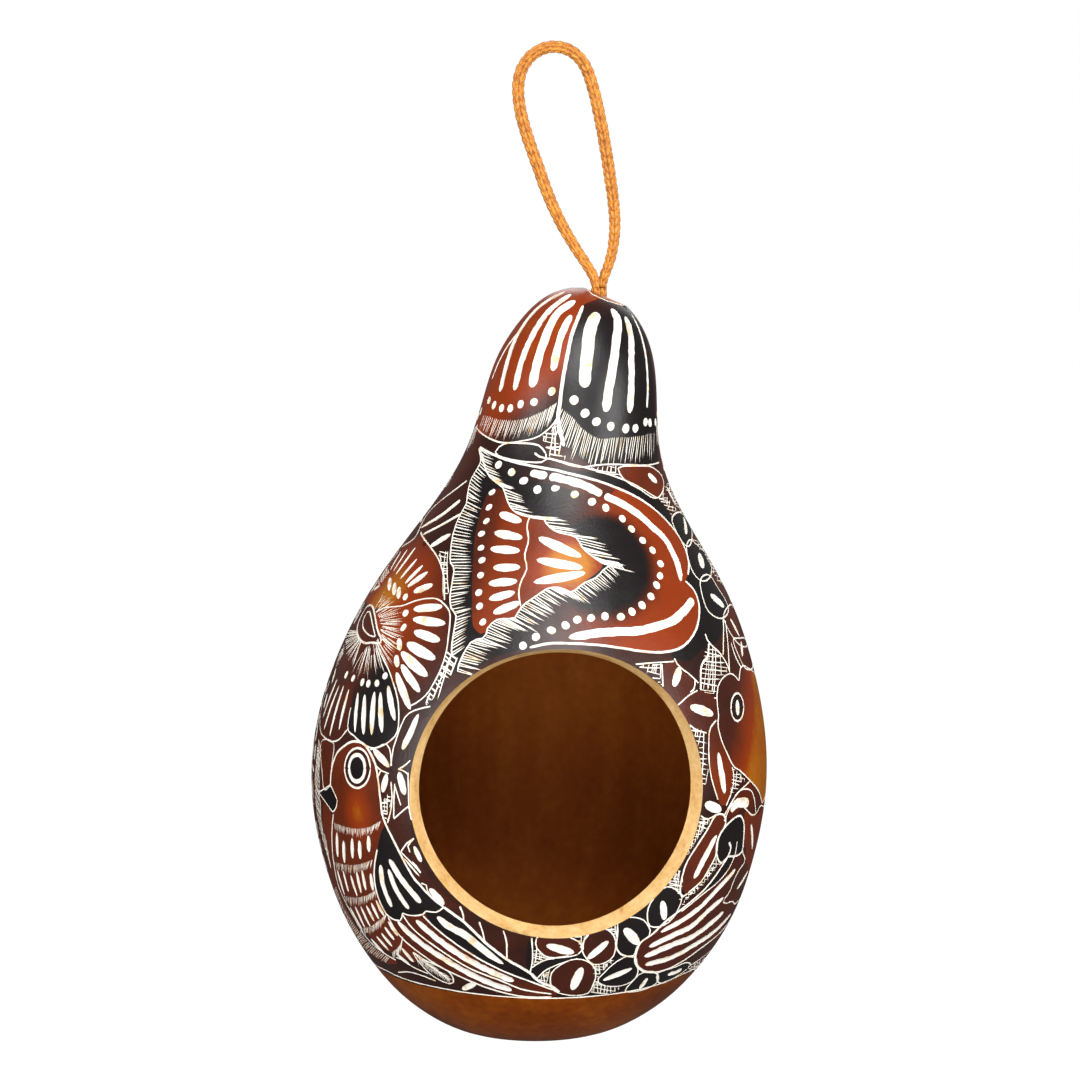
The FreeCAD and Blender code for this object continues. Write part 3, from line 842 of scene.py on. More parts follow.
def side_lobes(pen):
    """The two lobes of the side butterfly that turn to the viewer, with their fans of dashes."""
    upper = [(376, 608), (384, 607.8), (402, 605.3), (417.2, 600), (427.4, 598.2), (436.6, 598.7),
            (443.5, 603), (444.3, 590), (443.5, 574), (440, 562), (431, 547), (422, 533), (415, 537),
            (404, 545), (392, 556), (378, 574), (370, 590)]
    lower = [(376, 612), *upper[1:6], (444.8, 604.3), (449.9, 612.4), (449.9, 623.7), (448.4, 635.9),
            (446.8, 649.2), (442.8, 663.5), (435.6, 679.8), (427.4, 693), (420.3, 699.7), (411, 705.3),
            (400.9, 710.4), (398, 700), (393.8, 683.9), (387.7, 667.5), (381.5, 655.3), (378, 640)]
    region(pen, upper, glow(pen, (386, 596), 32.0, 0.04, 0.75))
    region(pen, lower, glow(pen, (388, 610), 34.0, 0.16, 0.78))
    cuts(pen, [lower[:16]], fine_line)
    cuts(pen, [[(420.8, 531.8), (430, 546), (437.7, 557.3), (441.7, 567.6), (444.3, 579.8), (444.6, 600)]],
            fine_line)
    dashes(pen, [(413.6, 591.2, 432.8, 584.6)], 2.1)
    dashes(pen, [(407.4, 586.4, 428, 571.6)], 1.8)
    dashes(pen, [(405, 583.4, 423, 565)], 1.5)
    dashes(pen, [(400, 578.8, 417.2, 558.4), (395.8, 574.5, 415.7, 547)], 1.25)
    dashes(pen, [(393.4, 570.8, 407.5, 549), (390.2, 570.2, 400.9, 551.4)], 1.0)
    dashes(pen, [(413.4, 608.5, 442.6, 606.7), (412.8, 618.4, 445.6, 623.6), (414, 630.9, 440, 640.3)], 2.2)
    dashes(pen, [(406.9, 642.5, 435.4, 659), (401.1, 651.5, 427.7, 676)], 2.5)
    dashes(pen, [(401.2, 664.2, 420, 691.9), (396.3, 672.2, 410.6, 709.2)], 2.0)
    dots(pen, [(405.3, 597), (405.5, 613), (403.5, 627.2)], 1.9)
    for x, y, tilt in ((399.4, 644, 0), (396.8, 660.9, 0), (398.9, 592.6, 1), (394.6, 588.5, 1),
                       (389.7, 583.9, 1)):
        dashes(pen, [(x + tilt - 1, y - 6, x - tilt + 1, y + 6)], 1.6)


def left_wings(pen):
    """The butterfly seen half side on, at the left: lobes, body, fan of fine cuts and ring of dots."""
    side_lobes(pen)
    black = [(381.5, 655.3), (387.7, 667.5), (393.8, 683.9), (397.9, 700.2), (398.9, 717.6), (396.8, 732.9),
            (389.7, 741), (378.5, 747.1), (370.3, 747.6), (362.1, 743), (354, 735.9), (347.9, 728.8),
            (350.9, 707.3), (353.5, 688), (358, 665), (362, 645), (371, 643)]
    side = [*black[15:10:-1], (346.8, 729.8), (339.7, 739), (332.6, 741.5), (325.4, 738), (320.3, 729.8),
            (322, 705), (330, 680), (340, 652), (350, 636)]
    region(pen, side, flat(0.62))
    region(pen, black, fade(pen, (366, 660), (376, 690), 0.6, 0.98))
    cuts(pen, [black[:13], side[4:12]], fine_line)
    cut(pen([(423.4, 533.9), (441, 525), (460.6, 514)]), 0.8)
    dashes(pen, [(429.5, 546.5, 450.8, 534)], 1.9)
    cut(pen([(421, 527.5), (440, 516), (460.3, 500)]), 1.3, 6.0, 0.8, 0.08)
    cut(pen([(402, 546.5), (415.2, 536.9), (427.4, 513.5), (440, 501), (453, 491), (467, 480.5)]), 0.5)
    lattice(pen, [(437, 553), (450, 551), (450, 595), (444, 597), (444, 575)], 4.4, 0.3, 2)
    lattice(pen, [(447, 650), (457, 656), (461, 664), (446, 684), (436, 700), (424, 706), (428, 696),
            (440, 675)], 4.6, 0.34, 40)
    dots(pen, [(385.1, 675.7), (376.9, 683), (368.3, 683.4), (362.3, 681.8), (353.2, 677.8),
            (346.3, 674.7)], 1.8)
    dashes(pen, [(358, 692, 355, 732.3)], 1.3)
    dashes(pen, [(364.8, 694, 363.6, 734.4), (374.5, 691, 371.7, 734.9), (380.4, 691.5, 382.1, 732.8),
            (387.9, 685.4, 395, 720.6)], 1.7)
    dashes(pen, [(337.3, 678.8, 323, 717.5), (339.5, 684.9, 324, 729.3), (344, 684.9, 329.7, 735.9),
            (349.1, 688.5, 339, 729.8)], 1.2)
    region(pen, [(366, 602), (361, 613), (357, 624), (357, 632), (362, 642), (356, 652), (348, 664),
            (340, 668), (338, 655), (344, 640), (352, 622), (360, 606)], flat(0.6))
    for i in range(right_rays):
        share = i / (right_rays - 1)
        angle = math.radians(-64 + 178 * share + rng.uniform(-2, 2))
        inner = 8.5 + 8 * share * share + rng.choice((0.0, 2.0, 5.0, 9.0))
        outer = (30 + 24 * share * share) * rng.uniform(0.85, 1.1)
        x = 370 + 2 * share
        y = 619 + 10 * share
        start = (x + inner * math.cos(angle), y + inner * math.sin(angle) * 1.15)
        end = (x + outer * math.cos(angle), y + outer * math.sin(angle))
        cut(pen([start, end]), 0.2 * rng.uniform(0.7, 1.3), 0.3, 3.0, 0.03)
    for i in range(left_rays):
        share = i / (left_rays - 1)
        angle = math.radians(112 + 74 * share + rng.uniform(-3, 3))
        outer = 30 - 15 * share
        start = (364 + 6 * math.cos(angle), 632 + 9 * math.sin(angle))
        end = (364 + outer * math.cos(angle), 632 + 1.25 * outer * math.sin(angle))
        cut(pen([start, end]), 0.22, 0.3, 1.5, 0.03)
    region(pen, [(370.3, 604.8), (372.9, 606.8), (374.9, 615.5), (377.4, 628.8), (381.5, 642),
            (371.3, 642.2), (365.2, 643), (360.6, 640), (358, 634.9), (357, 630.8), (358, 623.7),
            (362, 614.5), (366.2, 607.3)], flat(0.6), 0.55)
    cuts(pen, [[(369.8, 611.4), (371.3, 616.5), (373.4, 627.8), (375.4, 636.4)], [(375.4, 636.4),
            (370.3, 635.4), (365.7, 631.8), (362.7, 625.7), (363.7, 618.6), (366.2, 612.4),
            (369.8, 611.4)]], 0.4)


# The flowers under the window

def flowers(pen):
    region(pen, [(532, 937), (560, 935), (600, 925), (640, 905), (672, 885), (686, 897), (664, 920),
            (640, 942), (634, 960), (645, 972), (690, 968), (672, 977), (650, 986), (620, 993), (590, 997),
            (560, 996), (540, 985), (528, 972)], flat(0.97))
    leaf(pen, [(536.5, 938), (537, 948), (547.1, 956.6), (567.6, 956.4), (580, 953), (582, 945), (570, 937),
            (550, 934)], flat(0.66), (546.2, 945, 574.2, 952.5), 2.3)
    leaf(pen, [(569.6, 960.2), (553.3, 970.4), (550.2, 978.6), (553.3, 989.8), (570, 995), (588, 992.9),
            (593, 984.7), (596, 974.5), (593, 965.3), (582, 959)], flat(0.7), (581.6, 966.9, 572.3, 989.8),
            2.5)
    leaf(pen, [(582, 950), (584.1, 939.8), (591.2, 931.6), (603.5, 928.1), (610.6, 931.6), (615.2, 938.8),
            (615.7, 946.9), (612.7, 957.1), (603.5, 963.3), (593, 964)], flat(0.72),
            (587.3, 959, 608.4, 940.6), 2.0)
    leaf(pen, [(618.8, 920.4), (617.8, 931.6), (616.5, 945), (617.8, 951), (623.9, 955.1), (634.1, 955.6),
            (637, 946), (650, 934), (648, 925), (642, 919), (629, 917.3)], flat(0.98),
            (624.2, 928, 638.9, 944), 2.4)
    leaf(pen, [(666.7, 886.7), (657.6, 893.9), (649.4, 905.1), (647.3, 915.3), (650, 926), (661.6, 926),
            (671.8, 919.4), (679, 907.1), (682, 898), (678, 890.8)], flat(0.98), (662, 900.4, 664.9, 920),
            2.0)
    leaf(pen, [(634.1, 955.6), (623.9, 957.1), (612.7, 964.3), (604.5, 972.4), (597.3, 980.6),
            (605.5, 985.7), (620.8, 985.7), (631, 981.6), (637.1, 975), (637, 963)], flat(0.98),
            (602.8, 980, 632.3, 968), 1.8)
    leaf(pen, [(624.9, 991), (633, 980.6), (641, 973), (655, 972), (657.6, 981.6), (648, 988)], flat(0.98),
            (639.8, 988.6, 647.3, 977.8), 1.5, 0.4)
    region(pen, [(658, 972.4), (672, 968), (687, 962), (690, 966), (680, 974), (660, 983)], flat(0.98), 0.4)
    cut(pen([(668, 974), (674, 972.5), (681.5, 969.5)]), 1.4, 1.0, 1.0, 0.08)
    cuts(pen, [[(531.8, 937.8), (532.6, 950), (532.3, 962.2), (529.8, 972.4)], [(531.8, 967.5), (542, 961),
            (556, 957.5), (569, 955.6)], [(536, 979.5), (544, 971), (556, 965), (570, 960)], [(616, 947),
            (622, 955), (634, 957)], [(583, 950), (584, 940), (592, 931)]], fine_line)
    lattice(pen, [(533, 950), (537, 949), (547, 957), (556, 958.5), (541, 962), (533, 966)], 3.0)
    lattice(pen, [(537, 981), (550, 968), (552, 985), (553, 991)], 3.0)
    lattice(pen, [(572, 934), (584, 931), (590, 931), (583, 942), (581, 950), (578, 940)], 3.2)
    lattice(pen, [(592, 966), (605, 963), (616, 957), (611, 965), (598, 978), (595, 975)], 3.0)
    lattice(pen, [(590, 994), (596, 980), (605, 986), (622, 988), (612, 994)], 3.2)
    lattice(pen, [(604, 927), (616, 921), (618, 932), (616, 940), (610, 931)], 3.2)
    lattice(pen, [(656, 928), (672, 920), (682, 908), (680, 898), (686, 902), (672, 918)], 3.4)


def bottom_leaf(pen):
    region(pen, [(413, 952), (428.4, 972.4), (440, 980), (450.8, 983.7), (453.9, 981.6), (449.8, 972.4),
            (437.6, 965.3), (425, 960)], flat(0.75), 0.4)
    cut(pen([(414, 953), (426, 963), (439, 972), (450, 980)]), 0.3)
    midrib = [(416, 955), (426, 963), (439, 972), (448, 978)]
    fringe(pen, midrib, 24, (12, 9), (22, 7), 0.15, 6)
    fringe(pen, midrib, 20, (74, 10), (60, 7), 0.15, 6)
    cuts(pen, [[(395.7, 957.1), (405, 961), (412, 966.3), (428.4, 973.4)], [(398, 972), (410, 972),
            (424, 976), (436, 981)]], 0.4)
    dashes(pen, [(462.5, 989.6, 476.5, 982.2)], 1.7)


base_line = [(381.4, 963.3), (396.7, 972.4), (417.1, 979.6), (442.7, 985.7), (470, 991.3), (501, 996),
        (542, 999), (580, 998.2), (620.8, 993.9), (651.4, 986.7), (671.8, 977.6), (687.1, 969)]
base_up = float(np.mean([place.real for place in photo(base_line[3:9])]))


def background():
    """The burnt ground, as bands between levels of the chart."""
    steps = 72
    ring = [complex(base_up, 2 * math.pi * i / steps) for i in range(steps)]
    carving.add(ring, "region", flat(0.34))
    front = photo(base_line)
    first = front[0].imag
    last = front[-1].imag
    back = [complex(base_up, last + (2 * math.pi + first - last) * i / 10) for i in range(1, 10)]
    line = [complex(base_up + 0.4 * (place.real - base_up), place.imag) for place in front]
    cut(line + back + [line[0] + 2j * math.pi], 0.44, 0.3, 0.3, 0.06)


pixel_size = 0.254
quarter = 0.5j * math.pi
back = moved(photo, quarter, quarter, mirror=True)
belly_up = outside.belly_up
neck_foot_up = seen_place(600, 470).real
neck_copy = moved(photo, 0j, 1j * math.pi)
wings_centre = seen_place(369, 625)
side_meridian = seen_place(346, 640)
wings_beside = moved(photo, side_meridian, side_meridian, mirror=True)
wings_goal = complex(belly_up + 0.12, math.pi + 0.05)
wings_back = moved(photo, wings_centre, wings_goal, 1.15)
wings_back_too = moved(photo, wings_centre, wings_goal, 1.15, mirror=True)


def neck_side(pen):
    """A narrow petal where the neck's two groups leave a gap."""
    cuts(pen, [[(0.0, -46), (2, -24), (3, 0)]], 1.3, 3.0, 2.0)
    cuts(pen, [[(-12, -40), (-13, -20), (-12, 4)]], 1.0, 3.0, 2.0)
    dots(pen, [(-17, 22), (-8, 26), (2, 27), (11, 24), (19, 19)], 1.9)
    fringe(pen, [(-26, 30), (-8, 36), (8, 36), (24, 30)], 22, (104, 22), (78, 22))


def flat_pen(centre, turn=0.0):
    """Draws in pixels about a place, rightwards along the girth and downwards."""
    reach = pixel_size / radius_at(centre)

    def draw(points):
        return [centre + reach * complex(-py, px) * complex(math.cos(turn), math.sin(turn)) for px,
                py in points]
    return draw


def sprig(pen):
    """A leaf with one gouge, as the gaps between the large motifs have."""
    leaf(pen, [(0, -17), (8, -9), (10, 2), (5, 13), (0, 18), (-6, 12), (-10, 1), (-7, -10)],
            flat(rng.choice((0.52, 0.6, 0.97))), (0, -9, 0, 10), 1.9)


def tick(pen):
    dashes(pen, [(0, -8, 0, 8)], 1.2)


def speck(pen):
    lattice(pen, [(-9, -8), (9, -9), (9, 8), (-8, 9)], 4.0)


def fill_gaps(clear):
    """Small motifs where nothing is cut yet, away from the front. clear holds places and reaches to leave."""
    shoulder_up = seen_place(450, 560).real
    side_limit = math.radians(86)
    for draw, reach, step in ((sprig, 5.0, 3.0), (tick, 2.3, 2.2), (speck, 2.2, 2.0)):
        up = base_up + 0.06
        while up < neck_foot_up + 0.1:
            radius = radius_at(up)
            side_edge = side_limit if up > shoulder_up else math.radians(77)
            count = int(2 * math.pi * radius / step)
            taken = np.array(carving.places)
            taken = taken[np.abs(taken.real - up) * radius < 2 * reach]
            for i in range(count):
                turn = 2 * math.pi * (i + rng.uniform(-0.3, 0.3)) / count
                turn = (turn + math.pi) % (2 * math.pi) - math.pi
                place = complex(up, turn)
                if -side_edge < turn < side_limit:
                    continue
                if (np.abs(wrapped(taken - place)) * radius < reach).any():
                    continue
                if any(abs(wrapped(place - spot)) * radius < size for spot, size in clear):
                    continue
                first = len(carving.places)
                draw(flat_pen(place, rng.uniform(-0.5, 0.5) + (rng.random() < 0.3) * math.pi / 2))
                taken = np.append(taken, carving.places[first:])
            up += step / radius


background()
for draw in (right_shoulder, left_leaves, right_leaves, neck, flowers, bottom_leaf):
    draw(photo)
for draw in (right_shoulder, right_leaves, flowers, bottom_leaf, butterfly, left_bird, tail_feathers, wing,
             right_bird):
    draw(back)
neck(neck_copy)
for turn in (math.radians(96), math.radians(-92)):
    neck_side(flat_pen(complex(seen_place(600, 395).real, turn)))
side_lobes(wings_beside)
side_lobes(wings_back_too)
for pen in (photo, wings_back):
    left_wings(pen)
for draw in (butterfly, left_bird, tail_feathers, wing, right_bird):
    draw(photo)
lattice(flat_pen(seen_place(321, 800)), [(-24, -56), (-6, -50), (-3, -12), (-2, 26), (4, 58), (-6, 62),
        (-20, 30), (-26, -4)], 4.6, 0.26, 20)
heads = [seen_place(x, y) for x, y in ((742, 695), (752, 725), (762, 745), (766, 715))]
heads += [place.conjugate() + 1j * math.pi for place in heads]
fill_gaps([(place, 10.5) for place in heads])


# Triangles

def grid(side, low, high, spacing):
    places = []
    up = low
    row = 0
    while up < high:
        radius = float(side.at(side.radius, up))
        count = max(8, round(2 * math.pi * radius / spacing))
        for i in range(count):
            places.append(complex(up, 2 * math.pi * (i + 0.5 * (row % 2)) / count))
        up += min(0.87 * spacing / radius, 0.5)
        row += 1
    return places


def triangulate(side, places, edges, faces):
    """Triangles over the chart: their places, what each place was made from, and the faces each lies in."""
    middle = side.belly_up
    plane = np.exp(np.array(places) - middle)
    coords = [Vector((p.real, p.imag)) for p in plane]
    found = delaunay_2d_cdt(coords, edges, faces, 0, 1e-6, True)
    spots = np.array([complex(v.x, v.y) for v in found[0]])
    return np.log(spots) + middle, found[3], np.array(found[2]), found[5]


rim_half = window_width / 2
rim_distance = math.sqrt(gourd_radius ** 2 - rim_half ** 2)
outline_heights = shares[:, 0] * gourd_height
outline_radii = shares[:, 1] * gourd_radius
top_distance = float(np.interp(window_top_height, outline_heights, outline_radii))
bottom_distance = float(np.interp(window_bottom_height, outline_heights, outline_radii))


def window_size(distance):
    """Half the window's width, its top and its bottom, at a distance in front of the gourd's axis."""
    half = rim_half + (distance - rim_distance) * window_side_flare
    top = window_top_height + (distance - top_distance) * window_top_flare
    bottom = window_bottom_height - (distance - bottom_distance) * window_bottom_flare
    return half, top, bottom


def window_ruling(side, angle):
    """Where the window's flared cut meets one side of the wall, at an angle round it."""
    def point(distance):
        half, top, bottom = window_size(distance)
        across = half * math.cos(angle)
        height = (top + bottom) / 2 + (top - bottom) / 2 * math.sin(angle)
        x = across * math.cos(window_turn) + distance * math.sin(window_turn)
        y = across * math.sin(window_turn) - distance * math.cos(window_turn)
        return x, y, height

    def level(height, values):
        return np.interp(height, side.height[body_slice], values[body_slice])

    def outside_side(distance):
        x, y, height = point(distance)
        return math.hypot(x - level(height, side.lean), y) > level(height, side.radius)

    x, y, height = point(narrowed(gourd_radius / 3, gourd_radius * 1.1, outside_side, 40)[0])
    return complex(level(height, side.up), math.atan2(x - level(height, side.lean), -y))


def scar_z(x):
    """The height of the stem's flat scar over x."""
    return mouth_z - math.tan(scar_tilt) * (x - hole_x)


def crown_height(side, x, y):
    place = side.under(x, y)
    return gourd_bottom_z + float(side.at(side.height, place))


def mouth_reach(angle):
    """How far the worn mouth of the cord hole reaches from its axis."""
    def above_ground(reach):
        x = hole_x + reach * math.cos(angle)
        ground = min(crown_height(outside, x, reach * math.sin(angle)), scar_z(x))
        return ground <= mouth_z + mouth_wear_height + reach - hole_radius

    return narrowed(hole_radius, hole_radius + 0.5, above_ground)[0]


def scar_reach(angle):
    """How far the flat scar reaches from the hole's axis."""
    def below_scar(reach):
        x = hole_x + reach * math.cos(angle)
        return crown_height(outside, x, reach * math.sin(angle)) <= scar_z(x)

    return narrowed(1.0, 14.0, below_scar)[0]


def hole_ring(side, reaches):
    ring = []
    for i, reach in enumerate(reaches):
        angle = 2 * math.pi * i / len(reaches)
        ring.append(side.under(hole_x + reach * math.cos(angle), reach * math.sin(angle)))
    return ring


rim_steps = 220
hole_steps = 40
rim_angles = [2 * math.pi * i / rim_steps for i in range(rim_steps)]
hole_angles = [2 * math.pi * i / hole_steps for i in range(hole_steps)]
window_outside = [window_ruling(outside, angle) for angle in rim_angles]
window_inside = [window_ruling(inside, angle) for angle in rim_angles]
mouth = hole_ring(outside, [mouth_reach(angle) for angle in hole_angles])
scar = hole_ring(outside, [scar_reach(angle) for angle in hole_angles])
hole_inside = hole_ring(inside, [hole_radius] * hole_steps)


def wrap_path(ring):
    """The same ring, unwrapped so that its azimuths run on without a jump."""
    turns = np.unwrap([place.imag for place in ring])
    return [complex(place.real, turn) for place, turn in zip(ring, turns)]


carving.add(wrap_path(window_outside), "window")
carving.add(wrap_path(mouth), "hole")
carving.add(wrap_path(scar), "scar")


def tip_ring(side):
    return [complex(side.up[-1], 2 * math.pi * i / tip_steps) for i in range(tip_steps)]


tip_steps = 12
tip_gap = 0.3
skin_spacing = 2.2
lining_spacing = 4.2
skin_places = carving.places + grid(outside, 0.0, outside.up[-1] - tip_gap, skin_spacing) + tip_ring(outside)
places, made_from, triangles, made_faces = triangulate(outside, skin_places, carving.edges, carving.faces)

kinds = carving.kinds
gone = np.zeros(len(triangles), bool)
is_cut = np.zeros(len(triangles), bool)
is_scar = np.zeros(len(triangles), bool)
tone_of = np.full(len(triangles), -1)
for i, face_list in enumerate(made_faces):
    for face in face_list:
        kind = kinds[face]
        if kind == "cut":
            is_cut[i] = True
        elif kind == "region":
            tone_of[i] = max(tone_of[i], face)
        elif kind == "scar":
            is_scar[i] = True
        else:
            gone[i] = True
is_cut &= ~is_scar

sinks = np.zeros(len(places))
limit = len(carving.sinks)
for i, sources in enumerate(made_from):
    for source in sources:
        if source < limit and carving.sinks[source] > sinks[i]:
            sinks[i] = carving.sinks[source]
least_sink = 0.1
uncut = np.zeros(len(places), bool)
uncut[triangles[~is_cut | gone].ravel()] = True
sinks = np.where(uncut, 0.0, np.maximum(sinks, least_sink))


def on_scar(points):
    """Points over the stem's scar come down onto it."""
    flat_z = mouth_z - math.tan(scar_tilt) * (points[:, 0] - hole_x)
    points[:, 2] = np.minimum(points[:, 2], flat_z)
    return points


kept = ~gone
used, flat_index = np.unique(triangles[kept], return_inverse=True)
skin_triangles = flat_index.reshape(-1, 3)
places = places[used]
sinks = sinks[used]
skin_cut = is_cut[kept]
skin_scar = is_scar[kept]
skin_tone = tone_of[kept]


def ground_tone(at):
    """Burnt less at the sides and the back than in front."""
    share = np.clip((np.abs(wrapped(at).imag) - 0.85) / 0.5, 0, 1)
    return 0.77 - 0.15 * share * share * (3 - 2 * share)


burn = ground_tone(places[skin_triangles].ravel()).reshape(-1, 3)
for index in np.unique(skin_tone[skin_tone >= 0]):
    mine = skin_tone == index
    burn[mine] = carving.tones[index](places[skin_triangles[mine]].ravel()).reshape(-1, 3)

# A groove goes a little deeper than the bare wood in it, whose top stays below the skin.
groove_share = 1.15
wood_top_share = 0.5
skin_points = on_scar(outside.points(places, sinks * groove_share))
skin_normals = outside.normals(places)


# Meshes

def new_object(name, points, faces, material_list, slots=None, smooth_faces=True):
    mesh = bpy.data.meshes.new(name)
    mesh.from_pydata((np.asarray(points) * MM).tolist(), [], [list(map(int, face)) for face in faces])
    for material in material_list:
        mesh.materials.append(material)
    if slots is not None:
        mesh.polygons.foreach_set("material_index", np.asarray(slots, np.int32))
    mesh.polygons.foreach_set("use_smooth", np.full(len(mesh.polygons), smooth_faces))
    mesh.update()
    made = bpy.data.objects.new(name, mesh)
    bpy.context.scene.collection.objects.link(made)
    return made


def flip_to(points, faces, wanted):
    """Turns each triangle so that it faces the way wanted."""
    a, b, c = points[faces[:, 0]], points[faces[:, 1]], points[faces[:, 2]]
    facing = np.einsum("ij,ij->i", np.cross(b - a, c - a), wanted) < 0
    turned = faces.copy()
    turned[facing] = faces[facing][:, ::-1]
    return turned, facing


def zipper(first, second):
    """Triangles between two rings given as (index, angle), both sorted by angle."""
    faces = []
    count_a = len(first)
    count_b = len(second)
    i = 0
    j = 0
    while i < count_a or j < count_b:
        next_a = first[i % count_a][1] + 2 * math.pi * (i // count_a) if i < count_a else 1e9
        next_b = second[j % count_b][1] + 2 * math.pi * (j // count_b) if j < count_b else 1e9
        a = first[(i - 1) % count_a][0]
        b = second[(j - 1) % count_b][0]
        if next_a <= next_b:
            faces.append((a, first[i][0], b))
            i += 1
        else:
            faces.append((a, second[j][0], b))
            j += 1
    return faces


def linear(red, green, blue):
    """A colour given as it is seen, from 0 to 255, as amounts of light."""
    channels = []
    for value in (red, green, blue):
        share = value / 255
        channels.append(share / 12.92 if share <= 0.04045 else ((share + 0.055) / 1.055) ** 2.4)
    return (*channels, 1.0)


class Nodes:
    """A short way to write a material's nodes."""

    def __init__(self, name):
        self.material = bpy.data.materials.new(name)
        self.material.use_nodes = True
        self.tree = self.material.node_tree
        self.shader = self.tree.nodes["Principled BSDF"]

    def add(self, kind, **values):
        node = self.tree.nodes.new(kind)
        for key, value in values.items():
            if hasattr(node, key):
                setattr(node, key, value)
            else:
                node.inputs[key.replace("_", " ")].default_value = value
        return node

    def link(self, source, target):
        self.tree.links.new(source, target)

    def math(self, operation, first, second):
        node = self.add("ShaderNodeMath", operation=operation)
        for socket, value in zip(node.inputs, (first, second)):
            if isinstance(value, (int, float)):
                socket.default_value = value
            else:
                self.link(value, socket)
        return node.outputs[0]

    def mix(self, first, second, share):
        """A share of the first value with the rest from the second."""
        return self.math("ADD", self.math("MULTIPLY", first, share), self.math("MULTIPLY", second, 1 - share))

    def noise(self, scale, detail=3.0, stretch=None):
        node = self.add("ShaderNodeTexNoise", Scale=scale, Detail=detail)
        place = self.add("ShaderNodeTexCoord").outputs["Object"]
        if stretch:
            mapping = self.add("ShaderNodeMapping")
            mapping.inputs["Scale"].default_value = stretch
            self.link(place, mapping.inputs["Vector"])
            place = mapping.outputs[0]
        self.link(place, node.inputs["Vector"])
        return node.outputs[0]

    def ramp(self, source, stops):
        node = self.add("ShaderNodeValToRGB")
        ramp = node.color_ramp
        while len(ramp.elements) < len(stops):
            ramp.elements.new(0.5)
        for element, (position, colour) in zip(ramp.elements, stops):
            element.position = position
            element.color = colour
        self.link(source, node.inputs[0])
        return node.outputs[0]

    def bump(self, source, distance, strength=1.0, normal=None):
        node = self.add("ShaderNodeBump")
        node.inputs["Strength"].default_value = strength
        node.inputs["Distance"].default_value = distance
        self.link(source, node.inputs["Height"])
        if normal is not None:
            self.link(normal, node.inputs["Normal"])
        return node.outputs[0]

    def finish(self, colour, roughness, specular, normal=None):
        """Sets the surface, each value a number or a node's output."""
        for name, value in (("Base Color", colour), ("Roughness", roughness),
                            ("Specular IOR Level", specular), ("Normal", normal)):
            if isinstance(value, float):
                self.shader.inputs[name].default_value = value
            elif value is not None:
                self.link(value, self.shader.inputs[name])
        return self.material


def stops(*rows):
    """Ramp stops, each a position and a colour's red, green and blue."""
    return [(position, linear(*colour)) for position, *colour in rows]


def skin_material():
    n = Nodes("burnt_gourd_skin")
    value = n.add("ShaderNodeAttribute", attribute_name="burn").outputs["Fac"]
    for scale, detail, amount in ((140, 4, 0.16), (35, 2, 0.12), (900, 2, 0.10)):
        uneven = n.math("SUBTRACT", n.noise(scale, detail), 0.5)
        value = n.math("ADD", value, n.math("MULTIPLY", uneven, amount))
    colour = n.ramp(value, stops((0.0, 184, 112, 8), (0.2, 144, 51, 3), (0.42, 116, 41, 5), (0.62, 74, 26, 9),
                                 (0.78, 44, 17, 9), (0.95, 20, 14, 15)))
    rough = n.math("ADD", n.math("MULTIPLY", n.noise(300, 3), 0.16), 0.27)
    wave = n.bump(n.noise(60, 2), 0.0012, 0.25)
    return n.finish(colour, rough, 0.5, n.bump(n.noise(1500, 3), 0.0001, 0.5, wave))


def line_material():
    n = Nodes("bare_cut")
    colour = n.ramp(n.noise(330, 3), stops((0.3, 232, 202, 160), (0.44, 250, 244, 232)))
    return n.finish(colour, 0.75, 0.2, n.bump(n.noise(1300, 3), 0.00015, 0.5))


def rim_material():
    n = Nodes("cut_rim")
    value = n.mix(n.noise(900, 4), n.noise(260, 3, (1.0, 1.0, 0.35)), 0.45)
    colour = n.ramp(value, stops((0.25, 178, 128, 68), (0.42, 214, 168, 104), (0.6, 228, 188, 128),
                                 (0.8, 240, 208, 154)))
    return n.finish(colour, 0.7, 0.25, n.bump(n.noise(1100, 4), 0.0003, 0.5))


def lining_material():
    n = Nodes("gourd_lining")
    spots = n.noise(420, 3)
    value = n.mix(n.noise(160, 4, (1.0, 1.0, 0.12)), spots, 0.6)
    colour = n.ramp(value, stops((0.3, 128, 62, 6), (0.5, 142, 72, 10), (0.7, 156, 86, 20)))
    return n.finish(colour, 0.8, 0.2, n.bump(spots, 0.0006, 0.5))


def base_material():
    n = Nodes("varnished_base")
    colour = n.ramp(n.mix(n.noise(45, 3), n.noise(500, 3), 0.7),
                    stops((0.35, 94, 38, 2), (0.5, 118, 53, 3), (0.65, 142, 72, 8)))
    return n.finish(colour, 0.3, 0.14, n.bump(n.noise(60, 2), 0.0012, 0.25))


SKIN, RIM, LINING, BASE = range(4)
shell_materials = [skin_material(), rim_material(), lining_material(), base_material()]
bare_material = line_material()


# The lining

lining_faces = [list(range(rim_steps)), list(range(rim_steps, rim_steps + hole_steps))]
lining_places = wrap_path(window_inside) + wrap_path(hole_inside)
for ring, start in ((wrap_path(window_inside), 0), (wrap_path(hole_inside), rim_steps)):
    area = sum((a.conjugate() * b).imag for a, b in zip(ring, ring[1:] + ring[:1]))
    if area < 0:
        lining_faces[1 if start else 0].reverse()
lining_places += grid(inside, 0.0, inside.up[-1] - tip_gap, lining_spacing) + tip_ring(inside)
in_places, _, in_triangles, in_faces = triangulate(inside, lining_places, [], lining_faces)
in_triangles = in_triangles[np.array([not face_list for face_list in in_faces])]
used, flat_index = np.unique(in_triangles, return_inverse=True)
in_triangles = flat_index.reshape(-1, 3)
in_places = in_places[used]
in_points = inside.points(in_places)
in_normals = -inside.normals(in_places)


# The whole shell

